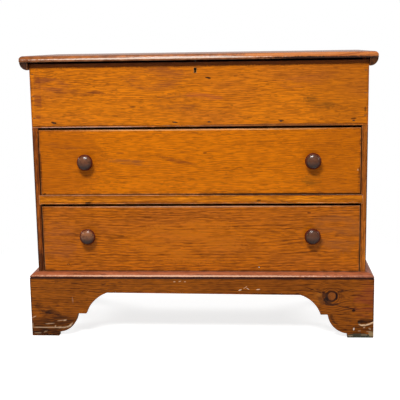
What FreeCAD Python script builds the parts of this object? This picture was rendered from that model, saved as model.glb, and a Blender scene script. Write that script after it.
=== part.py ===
"""A pine mule chest: a lidded well above two drawers, on a moulded bracket base.

Millimetres. +Z is up, the front faces -Y and X runs to the right. The origin is on the floor,
under the middle of the chest's overall box.
"""
import FreeCAD, Part
import math
import os
import re
import Sketcher

Vector = FreeCAD.Vector

# ---------------------------------------------------------------- driving dimensions

SIZES = {
    # the case
    "case_width": 1018,
    "case_depth": 446,
    "side_thickness": 17.5,
    "side_lap": 43,              # side boards below the top of the base
    "front_thickness": 18,
    "front_height": 193.2,       # the board in front of the well
    "back_thickness": 18,
    "back_gap": 0.6,             # shrinkage between the back boards
    "rabbet_depth": 9,           # into the sides, for the back boards
    "housing_depth": 6,          # into the sides, for the level boards
    "bottom_thickness": 18,
    "floor_thickness": 18,
    "floor_rise": 5.7,           # well floor above the lower edge of the front board
    "divider_height": 28.3,
    "divider_depth": 70,
    "lower_opening": 212.7,
    "upper_opening": 208.8,
    "runner_width": 22,
    "runner_rise": 2.2,          # runners stand this far above the divider
    "stop_length": 40,
    "stop_depth": 22,
    "stop_height": 6,
    "stop_inset": 209,           # stop's middle from the end of the case
    "bead_width": 4.5,
    "quirk_width": 1.6,
    # the base
    "base_thickness": 24,
    "base_height": 188,
    "moulding_height": 16,
    "moulding_quirk": 2.6,
    "moulding_nose": 2,
    "moulding_ledge": 1.2,
    "moulding_radius": 30,
    "pad_height": 13,
    "step_height": 73,
    "left_toe": 86,
    "left_bulge_reach": 61.5,
    "left_bulge_radius": 63,
    "left_step": 27.5,
    "left_cove_reach": 67.6,
    "left_cove_radius": 112,
    "left_apron": 140.6,
    "right_toe": 79.5,
    "right_bulge_reach": 60.7,
    "right_bulge_radius": 67,
    "right_step": 21.8,
    "right_cove_reach": 62,
    "right_cove_radius": 97,
    "right_apron": 135.4,
    "side_toe": 64,
    "side_bulge_reach": 48,
    "side_bulge_radius": 60,
    "side_step": 16,
    "side_cove_reach": 50,
    "side_cove_radius": 75,
    "side_apron": 138,
    "rear_toe": 66,
    "rear_reach": 150,
    "rear_thickness": 18,
    "rear_radius": 130,
    "rear_shoulder": 112,        # height where the rear bracket's curve meets its end
    "block_size": 40,
    # the lid
    "lid_gap": 7,                # above the front board
    "lid_thickness": 18,
    "lid_overhang": 25,          # in front of the case
    "lid_top_radius": 11,
    "lid_bottom_radius": 2,
    "cleat_radius": 24,
    "cleat_play": 0.5,
    "cleat_reach": 20,           # in front of the case
    # the hinges
    "hinge_inset": 179,          # hinge's middle from the end of the case
    "hinge_length": 64,
    "leaf_width": 16,
    "leaf_thickness": 1.8,
    "leaf_gap": 0.4,
    "barrel_radius": 3.2,
    "barrel_clearance": 0.6,     # between the barrel and the back of the case
    "pin_radius": 1.6,
    "pin_clearance": 0.05,
    "knuckle_count": 5,
    "knuckle_gap": 0.3,
    # the lock
    "keyhole_x": -5.6,
    "keyhole_drop": 20.7,        # from the front board's top edge to the eye of the keyhole
    "keyhole_radius": 4,
    "keyhole_waist": 2.4,
    "keyhole_foot": 3.4,
    "keyhole_length": 10,        # below the eye's centre
    "thread_wall": 1.1,
    "thread_clearance": 1,       # between the escutcheon and the lock behind it
    "lock_width": 70,
    "lock_height": 48,
    "lock_depth": 12,
    "lock_wall": 1.5,
    "plate_thickness": 2,
    "plate_flange": 12,
    "bolt_height": 6,
    "bolt_thickness": 3,
    "bolt_drop": 7,              # below the front board's top edge
    "bolt_length": 24,
    "bolt_tongue": 10,
    "bolt_play": 0.3,
    "staple_thickness": 3,
    "staple_width": 7,
    "staple_wall": 1.4,
    "staple_play": 1.6,          # in its eye, below the bolt
    "staple_clearance": 1.4,
    "strike_length": 34,
    "strike_width": 15,
    # the drawers
    "drawer_recess": 0.5,
    "drawer_end_gap": 2.3,
    "drawer_rear_gap": 9.5,
    "drawer_play": 0.3,          # above its runners
    "upper_head_gap": 6.5,       # above the upper drawer
    "lower_head_gap": 6.7,       # above the lower drawer
    "drawer_front_thickness": 20,
    "drawer_side_thickness": 13,
    "drawer_lap": 6,             # of the drawer front over the dovetails
    "drawer_bottom_thickness": 9,
    "drawer_bottom_rise": 8,
    "drawer_groove": 5,
    "side_drop": 2,              # drawer sides below the top of the front
    "tail_count": 3,
    "tail_width": 26,
    "tail_flare": 2.5,
    # the knobs
    "knob_inset": 143.7,         # knob's middle from the end of the drawer
    "knob_rise": 102,            # above the lower edge of the upper drawer front
    "lower_knob_rise": 114.3,
    "knob_radius": 24.9,
    "knob_projection": 35,
    "knob_rim": 5,
    "knob_rim_depth": 10,        # rim's front edge back from the crown
    "knob_rim_bulge": 1.54,      # rim's round beyond its two edges
    "knob_face_radius": 10,
    "knob_disc_radius": 16.7,
    "knob_disc_step": 1.4,
    "knob_disc_depth": 3,        # crown of the disc above its edge
    "knob_collar_radius": 14,
    "knob_collar": 3,
    "knob_neck_radius": 10.5,
    "knob_neck": 11,
    "knob_flare_radius": 14.7,
    "tenon_radius": 8,
    # nails and screws
    "nail_width": 3,
    "nail_breadth": 2,
    "nail_length": 45,
    "nail_head_width": 7,
    "nail_head_breadth": 3.6,
    "nail_head": 1.5,
    "nail_inset": 30,            # from a board's edge
    "floor_nail_one": 68,        # from the left end of the case
    "floor_nail_two": 70,        # to the left of its middle
    "floor_nail_three": 34,      # to the right of its middle
    "floor_nail_four": 259,      # this one and the next from its right end
    "floor_nail_five": 43,
    "cleat_nail_length": 32,
    "cleat_nail_count": 4,
    "screw_radius": 1.6,
    "screw_head_radius": 3.4,
    "screw_head": 1.6,
    "screw_length": 14,
    "screw_spread": 22,
}

doc = FreeCAD.newDocument("mule_chest")
sheet = doc.addObject("Spreadsheet::Sheet", "sizes")
for row, (alias, size) in enumerate(SIZES.items(), start=1):
    sheet.set(f"A{row}", alias)
    sheet.set(f"B{row}", str(size))
    sheet.setAlias(f"B{row}", alias)
doc.recompute()

# ---------------------------------------------------------------- levels and faces

DECK = "(base_height + moulding_height)"
DIVIDER_LOW = f"({DECK} + lower_opening)"
DIVIDER_TOP = f"({DIVIDER_LOW} + divider_height)"
FRONT_LOW = f"({DIVIDER_TOP} + upper_opening)"
FRONT_TOP = f"({FRONT_LOW} + front_height)"
LID_LOW = f"({FRONT_TOP} + lid_gap)"
LID_TOP = f"({LID_LOW} + lid_thickness)"
FLOOR_LOW = f"({FRONT_LOW} + floor_rise)"
FLOOR_TOP = f"({FLOOR_LOW} + floor_thickness)"
BOTTOM_LOW = f"({DECK} - bottom_thickness)"
SIDE_LOW = "(base_height - side_lap)"

CASE_END = "(case_width / 2)"
CASE_INSIDE = f"({CASE_END} - side_thickness)"
BASE_END = f"({CASE_END} + base_thickness)"
CLEAT_INSIDE = f"({CASE_END} + cleat_play)"
LID_END = f"({CLEAT_INSIDE} + cleat_radius)"

# The knobs are the foremost pieces and the hinge barrels the hindmost.
BEHIND = "(barrel_clearance + 2 * barrel_radius)"
FRONT = f"((knob_projection - drawer_recess - case_depth - {BEHIND}) / 2)"
BACK = f"({FRONT} + case_depth)"
BACK_INSIDE = f"({BACK} - back_thickness)"
FRONT_INSIDE = f"({FRONT} + front_thickness)"
BASE_FRONT = f"({FRONT} - base_thickness)"
PIN_Y = f"({BACK} + barrel_clearance + barrel_radius)"
DRAWER_FACE = f"({FRONT} + drawer_recess)"
DRAWER_INSIDE = f"({DRAWER_FACE} + drawer_front_thickness)"

# ---------------------------------------------------------------- drawing helpers

LIFT = {"XY": 1, "XZ": -1, "YZ": 1}  # which way each plane's normal points along its axis
NODES = {}
FEATURES = []


def bound(formula):
    """A formula in the sheet's names, as an expression on the sheet's cells."""
    return re.sub(r"[a-z_]+", lambda word: f"sizes.{word[0]}" if word[0] in SIZES else word[0], formula)


def number(formula):
    """What a formula comes to, in millimetres."""
    return float(sheet.evalExpression(bound(formula)))


def keep(label, piece):
    """Name a finished piece as a node."""
    piece.Label = label
    NODES[label] = piece
    return piece


def box_outline(x_low, y_low, x_high, y_high):
    """A rectangle's four corners, anticlockwise."""
    return [(x_low, y_low), (x_high, y_low), (x_high, y_high), (x_low, y_high)]


def mirrored(outline, sign):
    """The outline itself for a sign of 1, or its mirror image in the first coordinate for -1."""
    turned = []
    for x, y, *arc in outline:
        if arc:
            radius, turn = arc
            arc = [radius, turn * sign]
        turned.append((f"{sign} * ({x})", y, *arc))
    return turned


def circle(x, y, radius):
    """A circle as four quarter arcs, anticlockwise."""
    return [
        (f"{x} + {radius}", y, radius, 1),
        (x, f"{y} + {radius}", radius, 1),
        (f"{x} - {radius}", y, radius, 1),
        (x, f"{y} - {radius}", radius, 1),
    ]


def arc_side(start, end, radius, turn):
    """The shorter arc between two points, anticlockwise for a turn of 1 and clockwise for -1."""
    chord = end - start
    rise = max(radius ** 2 - (chord.Length / 2) ** 2, 0) ** 0.5
    normal = Vector(-chord.y, chord.x, 0) / chord.Length
    centre = (start + end) / 2 + normal * rise * turn
    first, last = (start, end) if turn > 0 else (end, start)
    angles = [math.atan2(point.y - centre.y, point.x - centre.x) for point in (first, last)]
    return Part.ArcOfCircle(Part.Circle(centre, Vector(0, 0, 1), radius), *angles)


def tie(sketch, kind, *where, formula):
    """A dimension that follows a formula."""
    index = sketch.addConstraint(Sketcher.Constraint(kind, *where, number(formula)))
    if re.search("[a-z]", formula):
        sketch.setExpression(f"Constraints[{index}]", bound(formula))


def draw(body, plane, outlines, height):
    """Sketch closed outlines on one of the body's own planes, raised to a coordinate.

    A corner is a pair of formulas. With a radius and a turn after them, the side to the next
    corner is an arc, as arc_side makes it.
    """
    sketch = body.newObject("Sketcher::SketchObject", f"{body.Name}_sketch")
    origin_plane = next(item for item in body.Origin.OriginFeatures if item.Role == f"{plane}_Plane")
    sketch.AttachmentSupport = (origin_plane, [""])
    sketch.MapMode = "FlatFace"
    sketch.setExpression("AttachmentOffset.Base.z", bound(f"{LIFT[plane]} * ({height})"))
    for outline in outlines:
        first = sketch.GeometryCount
        points = [Vector(number(corner[0]), number(corner[1]), 0) for corner in outline]
        ends = []
        for index, corner in enumerate(outline):
            start, end = points[index], points[(index + 1) % len(points)]
            if len(corner) == 2:
                sketch.addGeometry(Part.LineSegment(start, end), False)
                ends.append((1, 2))
            else:
                sketch.addGeometry(arc_side(start, end, number(corner[2]), corner[3]), False)
                ends.append((1, 2) if corner[3] > 0 else (2, 1))
        for index, corner in enumerate(outline):
            side, after = first + index, first + (index + 1) % len(outline)
            next_start = ends[(index + 1) % len(outline)][0]
            sketch.addConstraint(Sketcher.Constraint("Coincident", side, ends[index][1], after, next_start))
            tie(sketch, "DistanceX", -1, 1, side, ends[index][0], formula=corner[0])
            tie(sketch, "DistanceY", -1, 1, side, ends[index][0], formula=corner[1])
            if len(corner) == 4:
                tie(sketch, "Radius", side, formula=corner[2])
    return sketch


def feature(body, kind, plane, outlines, foot, start, end):
    """A pad or pocket between two coordinates along a plane's normal, drawn at its foot."""
    sketch = draw(body, plane, outlines, foot)
    made = body.newObject(f"PartDesign::{kind}", f"{body.Name}_{kind.lower()}")
    made.Profile = sketch
    made.setExpression("Length", bound(f"({end}) - ({start})"))
    body.Tip = made
    FEATURES.append(made)
    return made


def pad(body, plane, outlines, start, end):
    """Solid between two coordinates along a plane's normal."""
    return feature(body, "Pad", plane, outlines, start if LIFT[plane] > 0 else end, start, end)


def pocket(body, plane, outlines, start, end):
    """Waste between two coordinates along a plane's normal."""
    return feature(body, "Pocket", plane, outlines, end if LIFT[plane] > 0 else start, start, end)


def body_named(label):
    """An empty body for one piece of wood or metal."""
    return doc.addObject("PartDesign::Body", label)


def block(label, low, high):
    """A plain box between two corners."""
    made = doc.addObject("Part::Box", label)
    for length, axis, near, far in zip(("Length", "Width", "Height"), "xyz", low, high):
        made.setExpression(length, bound(f"({far}) - ({near})"))
        made.setExpression(f"Placement.Base.{axis}", bound(near))
    return made


def fuse(label, shapes):
    """One solid from several that overlap or touch."""
    made = doc.addObject("Part::MultiFuse", label)
    made.Shapes = shapes
    return made


def group(label, shapes):
    """Separate solids that share a node."""
    made = doc.addObject("Part::Compound", label)
    made.Links = shapes
    return made


def drilled(label, wood, *fixings):
    """A piece with the holes that its nails, screws or pins fill."""
    for fixing in fixings:
        made = doc.addObject("Part::Cut", f"{label}_holes")
        made.Base = wood
        made.Tool = fixing
        wood = made
    return wood


def nail(label, head, axis, way, length="nail_length"):
    """A cut nail from the middle of its head, driven along an axis one way or the other."""
    along = "xyz".index(axis)
    parts = []
    for part, depth, width, breadth in (
        ("shank", length, "nail_width", "nail_breadth"),
        ("head", "nail_head", "nail_head_width", "nail_head_breadth"),
    ):
        low, high = [], []
        spread = iter((width, breadth))
        for direction, place in enumerate(head):
            if direction == along:
                low.append(place if way > 0 else f"{place} - {depth}")
                high.append(f"{place} + {depth}" if way > 0 else place)
            else:
                half = f"{next(spread)} / 2"
                low.append(f"{place} - {half}")
                high.append(f"{place} + {half}")
        parts.append(block(f"{label}_{part}", low, high))
    return fuse(label, parts)


def screw(label, head, way, length="screw_length"):
    """A countersunk screw from the middle of its head's face, driven along a vector."""
    shank = doc.addObject("Part::Cylinder", f"{label}_shank")
    shank.setExpression("Radius", bound("screw_radius"))
    shank.setExpression("Height", bound(length))
    cone = doc.addObject("Part::Cone", f"{label}_head")
    cone.setExpression("Radius1", bound("screw_head_radius"))
    cone.setExpression("Radius2", bound("screw_radius"))
    cone.setExpression("Height", bound("screw_head"))
    for part in (shank, cone):
        part.Placement = FreeCAD.Placement(Vector(), FreeCAD.Rotation(Vector(0, 0, 1), Vector(*way)))
        for axis, place in zip("xyz", head):
            part.setExpression(f"Placement.Base.{axis}", bound(place))
    return fuse(label, [shank, cone])


def bead(edge, way, flat):
    """The waste on the face beside a bead that is worked along an edge.

    The bead runs from the edge one way. Its round takes two quarter arcs, and a small slope, the
    quirk, sets it off from the face. A flat of "across" gives (across, depth) corners, and one of
    "up" gives (depth, up) corners.
    """
    half = "bead_width / 2"
    outside = "quirk_width"
    corners = [
        (f"-({outside})", f"-({outside})"),
        ("bead_width + quirk_width", f"-({outside})"),
        ("bead_width + quirk_width", "0 * quirk_width"),
        ("bead_width", half, half, 1),
        (half, "0 * quirk_width", half, 1),
        ("0 * quirk_width", half),
        (f"-({outside})", half),
    ]
    turned = []
    for away, depth, *arc in corners:
        across, deep = f"{edge} + {way} * ({away})", f"{FRONT} + {depth}"
        pair = (across, deep) if flat == "across" else (deep, across)
        turn = -way if flat == "across" else way
        turned.append((*pair, arc[0], turn) if arc else pair)
    return turned


# ---------------------------------------------------------------- the case


def nails_along(label, places, axis, way, length="nail_length"):
    """A row or set of nails as one node."""
    made = [nail(f"{label}_{index}", place, axis, way, length) for index, place in enumerate(places)]
    return keep(label, group(label, made))


FLOOR_MIDDLE = f"({FLOOR_LOW} + floor_thickness / 2)"
STILE_MIDDLE = f"({CASE_END} - side_thickness / 2)"
RABBET_MIDDLE = f"({CASE_END} - side_thickness + rabbet_depth / 2)"
BACK_BOARDS = ("back_board_lower", "back_board_middle", "back_board_upper")
BOARD_PITCH = f"(({LID_LOW} - {SIDE_LOW} + back_gap) / {len(BACK_BOARDS)})"
NAIL_PITCH = "((front_height - 2 * nail_inset) / 2)"
FLOOR_NAILS = (
    f"floor_nail_one - {CASE_END}", "-floor_nail_two", "floor_nail_three",
    f"{CASE_END} - floor_nail_four", f"{CASE_END} - floor_nail_five",
)

floor_nails = nails_along("floor_nails", [(place, FRONT, FLOOR_MIDDLE) for place in FLOOR_NAILS], "y", 1)
front_board_nails = nails_along(
    "front_board_nails",
    [
        (f"{sign} * {STILE_MIDDLE}", FRONT, f"{FRONT_LOW} + nail_inset + {step} * {NAIL_PITCH}")
        for sign in (-1, 1) for step in range(3)
    ],
    "y", 1,
)
back_nails = nails_along(
    "back_nails",
    [
        (
            f"{sign} * {RABBET_MIDDLE}", BACK,
            f"{SIDE_LOW} + {board} * {BOARD_PITCH} + nail_inset + {step} * ({BOARD_PITCH} - 2 * nail_inset)",
        )
        for sign in (-1, 1) for board in range(len(BACK_BOARDS)) for step in range(2)
    ],
    "y", -1,
)


def case_side(name, sign):
    """A side board: notched at the top for the front board, rabbeted behind and housed within."""
    body = body_named(f"{name}_blank")
    start, end = sorted((f"{sign} * {CASE_END}", f"{sign} * {CASE_INSIDE}"), key=number)
    profile = [
        (FRONT, SIDE_LOW), (BACK, SIDE_LOW), (BACK, LID_LOW), (FRONT_INSIDE, LID_LOW),
        (FRONT_INSIDE, FRONT_LOW), (FRONT, FRONT_LOW),
    ]
    pad(body, "YZ", [profile], start, end)
    rabbet = box_outline(CASE_INSIDE, BACK_INSIDE, f"{CASE_INSIDE} + rabbet_depth", BACK)
    pocket(body, "XY", [mirrored(rabbet, sign)], SIDE_LOW, LID_LOW)
    for low, high in ((BOTTOM_LOW, DECK), (DIVIDER_LOW, DIVIDER_TOP), (FLOOR_LOW, FLOOR_TOP)):
        near = FRONT_INSIDE if low == FLOOR_LOW else FRONT
        far = f"{FRONT} + divider_depth" if low == DIVIDER_LOW else BACK_INSIDE
        housing = box_outline(CASE_INSIDE, low, f"{CASE_INSIDE} + housing_depth", high)
        pocket(body, "XZ", [mirrored(housing, sign)], near, far)
    pocket(body, "XY", [mirrored(bead(CASE_INSIDE, 1, "across"), sign)], DIVIDER_TOP, FRONT_LOW)
    pocket(body, "XY", [mirrored(bead(CASE_INSIDE, 1, "across"), sign)], DECK, DIVIDER_LOW)
    return body


def level_board(name, low, high, near, far):
    """A level board whose ends are housed in the sides."""
    body = body_named(name)
    reach = f"({CASE_INSIDE} + housing_depth)"
    pad(body, "XY", [box_outline(f"-{reach}", near, reach, far)], low, high)
    return body


for name, sign in (("side_left", -1), ("side_right", 1)):
    keep(name, drilled(name, case_side(name, sign), front_board_nails, back_nails))

case_bottom = level_board("case_bottom_blank", BOTTOM_LOW, DECK, FRONT, BACK_INSIDE)
keep("case_bottom", drilled("case_bottom", case_bottom, back_nails))
well_floor = level_board("well_floor_blank", FLOOR_LOW, FLOOR_TOP, FRONT_INSIDE, BACK_INSIDE)
keep("well_floor", drilled("well_floor", well_floor, floor_nails, back_nails))
divider = level_board("drawer_divider", DIVIDER_LOW, DIVIDER_TOP, FRONT, f"{FRONT} + divider_depth")
DIVIDER_BEADS = [bead(DIVIDER_LOW, 1, "up"), bead(DIVIDER_TOP, -1, "up")]
pocket(divider, "YZ", DIVIDER_BEADS, f"-{CASE_INSIDE}", CASE_INSIDE)
keep("drawer_divider", divider)

for name, sign in (("runner_left", -1), ("runner_right", 1)):
    near, far = sorted((f"{sign} * {CASE_INSIDE}", f"{sign} * ({CASE_INSIDE} - runner_width)"), key=number)
    keep(name, block(
        name,
        (near, f"{FRONT} + divider_depth", DIVIDER_LOW),
        (far, BACK_INSIDE, f"{DIVIDER_TOP} + runner_rise"),
    ))

stops = []
for level, deck in (("lower", DECK), ("upper", DIVIDER_TOP)):
    for side, sign in (("left", -1), ("right", 1)):
        middle = f"{sign} * ({CASE_END} - stop_inset)"
        near = f"{DRAWER_INSIDE} + drawer_play"
        stops.append(block(
            f"stop_{level}_{side}",
            (f"{middle} - stop_length / 2", near, deck),
            (f"{middle} + stop_length / 2", f"{near} + stop_depth", f"{deck} + stop_height"),
        ))
keep("drawer_stops", group("drawer_stops", stops))

# ---------------------------------------------------------------- hinge screws and leaves

HINGES = (("left", -1), ("right", 1))
HINGE_X = f"({CASE_END} - hinge_inset)"
LEAF_MIDDLE = f"({BACK} - leaf_width / 2)"
CASE_LEAF_TOP = f"({LID_LOW} - leaf_gap / 2)"
LID_LEAF_LOW = f"({LID_LOW} + leaf_gap / 2)"


def hinge_screws(label, height, way):
    """Three screws in each hinge's leaf."""
    made = []
    for side, sign in HINGES:
        for step in (-1, 0, 1):
            place = (f"{sign} * {HINGE_X} + {step} * screw_spread", LEAF_MIDDLE, height)
            made.append(screw(f"{label}_{side}_{step + 1}", place, way))
    return made


hinge_case_screws = keep(
    "hinge_case_screws", group("hinge_case_screws", hinge_screws("case_screw", CASE_LEAF_TOP, (0, 0, -1)))
)


def leaf(label, sign, low, high, first_knuckle, screws):
    """A butt hinge's leaf: a plate let into the wood, and every other knuckle of the barrel."""
    start = f"({sign} * {HINGE_X} - hinge_length / 2)"
    pitch = "((hinge_length + knuckle_gap) / knuckle_count)"
    plate_end = f"({PIN_Y} - barrel_radius - knuckle_gap)"
    plate_corners = (start, f"{BACK} - leaf_width", low), (f"{start} + hinge_length", plate_end, high)
    parts = [block(f"{label}_plate", *plate_corners)]
    for knuckle in range(first_knuckle, int(number("knuckle_count")), 2):
        near = f"({start} + {knuckle} * {pitch})"
        far = f"({near} + {pitch} - knuckle_gap)"
        parts.append(block(f"{label}_tongue_{knuckle}", (near, plate_end, low), (far, PIN_Y, high)))
        barrel = doc.addObject("Part::Cylinder", f"{label}_barrel_{knuckle}")
        barrel.Placement = FreeCAD.Placement(Vector(), FreeCAD.Rotation(Vector(0, 1, 0), 90))
        barrel.setExpression("Radius", bound("barrel_radius"))
        barrel.setExpression("Height", bound(f"{pitch} - knuckle_gap"))
        for axis, place in zip("xyz", (near, PIN_Y, LID_LOW)):
            barrel.setExpression(f"Placement.Base.{axis}", bound(place))
        parts.append(barrel)
    bore = hinge_rod(f"{label}_bore", sign, "pin_clearance")
    return drilled(label, fuse(f"{label}_blank", parts), bore, screws)


def hinge_rod(label, sign, extra):
    """A round rod on the hinge's axis, as wide as the pin and a stated extra all round."""
    rod = doc.addObject("Part::Cylinder", label)
    rod.Placement = FreeCAD.Placement(Vector(), FreeCAD.Rotation(Vector(0, 1, 0), 90))
    rod.setExpression("Radius", bound(f"pin_radius + {extra}"))
    rod.setExpression("Height", bound("hinge_length"))
    for axis, place in zip("xyz", (f"{sign} * {HINGE_X} - hinge_length / 2", PIN_Y, LID_LOW)):
        rod.setExpression(f"Placement.Base.{axis}", bound(place))
    return rod


for side, sign in HINGES:
    label = f"hinge_case_leaf_{side}"
    keep(label, leaf(label, sign, f"{CASE_LEAF_TOP} - leaf_thickness", CASE_LEAF_TOP, 0, hinge_case_screws))
pins = [hinge_rod(f"pin_{side}", sign, "0 * pin_radius") for side, sign in HINGES]
keep("hinge_pins", group("hinge_pins", pins))

MORTISES = [
    box_outline(
        f"{sign} * {HINGE_X} - hinge_length / 2", f"{BACK} - leaf_width",
        f"{sign} * {HINGE_X} + hinge_length / 2", BACK,
    )
    for side, sign in HINGES
]

# ---------------------------------------------------------------- the back

for index, name in enumerate(BACK_BOARDS):
    board = body_named(f"{name}_blank")
    low = f"({SIDE_LOW} + {index} * {BOARD_PITCH})"
    high = f"({low} + {BOARD_PITCH} - back_gap)"
    reach = f"({CASE_INSIDE} + rabbet_depth)"
    pad(board, "XZ", [box_outline(f"-{reach}", low, reach, high)], BACK_INSIDE, BACK)
    fixings = [back_nails]
    if name == "back_board_upper":
        pocket(board, "XY", MORTISES, f"{CASE_LEAF_TOP} - leaf_thickness", LID_LOW)
        fixings.append(hinge_case_screws)
    keep(name, drilled(name, board, *fixings))

# ---------------------------------------------------------------- the front board and its lock

LOCK_BACK = FRONT_INSIDE
PLATE_FACE = f"({LOCK_BACK} - plate_thickness)"
LOCK_FACE = f"({PLATE_FACE} - lock_depth)"
LOCK_LOW = f"({FRONT_TOP} - lock_height)"
THREAD_BACK = f"({LOCK_FACE} - thread_clearance)"
EYE_Z = f"({FRONT_TOP} - keyhole_drop)"


def lock_span(half):
    """The left and right of something centred on the keyhole."""
    return f"(keyhole_x - ({half}))", f"(keyhole_x + ({half}))"


def keyhole(wall):
    """The keyhole's outline, with a wall all round it: an eye over a flared foot."""
    eye = f"(keyhole_radius + {wall})"
    waist = f"(keyhole_waist + {wall})"
    foot = f"(keyhole_foot + {wall})"
    low = f"{EYE_Z} - keyhole_length - {wall}"
    neck = f"{EYE_Z} - sqrt({eye}^2 - {waist}^2)"
    return [
        (f"keyhole_x - {foot}", low),
        (f"keyhole_x + {foot}", low),
        (f"keyhole_x + {waist}", neck, eye, 1),
        (f"keyhole_x + {eye}", EYE_Z, eye, 1),
        ("keyhole_x", f"{EYE_Z} + {eye}", eye, 1),
        (f"keyhole_x - {eye}", EYE_Z, eye, 1),
        (f"keyhole_x - {waist}", neck),
    ]


lock_screws = keep("lock_screws", group("lock_screws", [
    screw(
        f"lock_screw_{column}_{row}",
        (
            f"keyhole_x + {column} * (lock_width + plate_flange) / 2", LOCK_BACK,
            f"{LOCK_LOW} + lock_height / 4 + {row} * lock_height / 2",
        ),
        (0, -1, 0),
    )
    for column in (-1, 1) for row in (0, 1)
]))

board_left, board_right = lock_span("lock_width / 2")
plate_left, plate_right = lock_span("lock_width / 2 + plate_flange")
inner_left, inner_right = lock_span("lock_width / 2 - lock_wall")

upper_front = body_named("upper_front_blank")
pad(upper_front, "XZ", [box_outline(f"-{CASE_END}", FRONT_LOW, CASE_END, FRONT_TOP)], FRONT, FRONT_INSIDE)
pocket(upper_front, "YZ", [bead(FRONT_LOW, 1, "up")], f"-{CASE_END}", CASE_END)
pocket(upper_front, "XZ", [keyhole("0 * thread_wall")], FRONT, FRONT_INSIDE)
pocket(upper_front, "XZ", [keyhole("thread_wall")], FRONT, THREAD_BACK)
pocket(upper_front, "XZ", [box_outline(board_left, LOCK_LOW, board_right, FRONT_TOP)], LOCK_FACE, LOCK_BACK)
pocket(upper_front, "XZ", [box_outline(plate_left, LOCK_LOW, plate_right, FRONT_TOP)], PLATE_FACE, LOCK_BACK)
SELVAGE_LOW = f"({FRONT_TOP} - plate_thickness)"
SELVAGE = box_outline(plate_left, LOCK_FACE, plate_right, LOCK_BACK)
pocket(upper_front, "XY", [SELVAGE], SELVAGE_LOW, FRONT_TOP)
keep("upper_front", drilled("upper_front", upper_front, floor_nails, front_board_nails, lock_screws))

escutcheon = body_named("keyhole_escutcheon")
pad(escutcheon, "XZ", [keyhole("thread_wall"), keyhole("0 * thread_wall")], FRONT, THREAD_BACK)
keep("keyhole_escutcheon", escutcheon)

STAPLE_Y = f"({PLATE_FACE} - (lock_depth + lock_wall) / 2 + lock_wall)"
CAP_BACK = f"({LOCK_FACE} + lock_wall)"
staple_left, staple_right = lock_span("staple_thickness / 2")
slot_left, slot_right = lock_span("staple_thickness / 2 + staple_clearance")
SLOT = box_outline(
    slot_left, f"{STAPLE_Y} - staple_width / 2 - staple_clearance",
    slot_right, f"{STAPLE_Y} + staple_width / 2 + staple_clearance",
)

lock_case = body_named("lock_case_blank")
pad(lock_case, "XZ", [box_outline(board_left, LOCK_LOW, board_right, FRONT_TOP)], LOCK_FACE, PLATE_FACE)
pad(lock_case, "XZ", [box_outline(plate_left, LOCK_LOW, plate_right, FRONT_TOP)], PLATE_FACE, LOCK_BACK)
pad(lock_case, "XY", [SELVAGE], SELVAGE_LOW, FRONT_TOP)
LOCK_CAVITY = box_outline(inner_left, f"{LOCK_LOW} + lock_wall", inner_right, SELVAGE_LOW)
pocket(lock_case, "XZ", [LOCK_CAVITY], LOCK_FACE, PLATE_FACE)
pocket(lock_case, "XY", [SLOT], SELVAGE_LOW, FRONT_TOP)
keep("lock_case", drilled("lock_case", lock_case, lock_screws))

lock_cap = body_named("lock_cap")
pad(lock_cap, "XZ", [LOCK_CAVITY, keyhole("0 * thread_wall")], LOCK_FACE, CAP_BACK)
keep("lock_cap", lock_cap)

BOLT_TOP = f"({FRONT_TOP} - bolt_drop)"
BOLT_TIP = "(keyhole_x + staple_thickness / 2 + staple_clearance)"
lock_bolt = body_named("lock_bolt")
TONGUE = box_outline(
    BOLT_TIP, f"{STAPLE_Y} - bolt_thickness / 2",
    f"{BOLT_TIP} + bolt_tongue", f"{STAPLE_Y} + bolt_thickness / 2",
)
TAIL = box_outline(
    f"{BOLT_TIP} + bolt_tongue", f"{CAP_BACK} + bolt_play",
    f"{BOLT_TIP} + bolt_length", f"{PLATE_FACE} - bolt_play",
)
pad(lock_bolt, "XY", [TAIL], f"{BOLT_TOP} - bolt_height", BOLT_TOP)
pad(lock_bolt, "XY", [TONGUE], f"{BOLT_TOP} - bolt_height", BOLT_TOP)
keep("lock_bolt", lock_bolt)

# ---------------------------------------------------------------- the lid

STRIKE_TOP = f"({LID_LOW} + plate_thickness)"
strike_left, strike_right = lock_span("strike_length / 2")
STRIKE = box_outline(
    strike_left, f"{STAPLE_Y} - strike_width / 2", strike_right, f"{STAPLE_Y} + strike_width / 2"
)
strike_screws = [
    screw(
        f"strike_screw_{column + 1}",
        (f"keyhole_x + {column} * (strike_length + staple_thickness) / 4", STAPLE_Y, LID_LOW),
        (0, 0, 1),
    )
    for column in (-1, 1)
]
lid_screws = keep("lid_screws", group(
    "lid_screws", hinge_screws("lid_screw", LID_LEAF_LOW, (0, 0, 1)) + strike_screws
))
for side, sign in HINGES:
    label = f"hinge_lid_leaf_{side}"
    keep(label, leaf(label, sign, LID_LEAF_LOW, f"{LID_LEAF_LOW} + leaf_thickness", 1, lid_screws))

STAPLE_LOW = f"({BOLT_TOP} - bolt_height - staple_play - staple_wall)"
strike = body_named("lid_strike_blank")
pad(strike, "XY", [STRIKE], LID_LOW, STRIKE_TOP)
STAPLE = box_outline(
    staple_left, f"{STAPLE_Y} - staple_width / 2", staple_right, f"{STAPLE_Y} + staple_width / 2"
)
pad(strike, "XY", [STAPLE], STAPLE_LOW, STRIKE_TOP)
EYE = box_outline(
    f"{STAPLE_Y} - staple_width / 2 + staple_wall", f"{STAPLE_LOW} + staple_wall",
    f"{STAPLE_Y} + staple_width / 2 - staple_wall", SELVAGE_LOW,
)
pocket(strike, "YZ", [EYE], staple_left, staple_right)
keep("lid_strike", drilled("lid_strike", strike, lid_screws))

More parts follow.
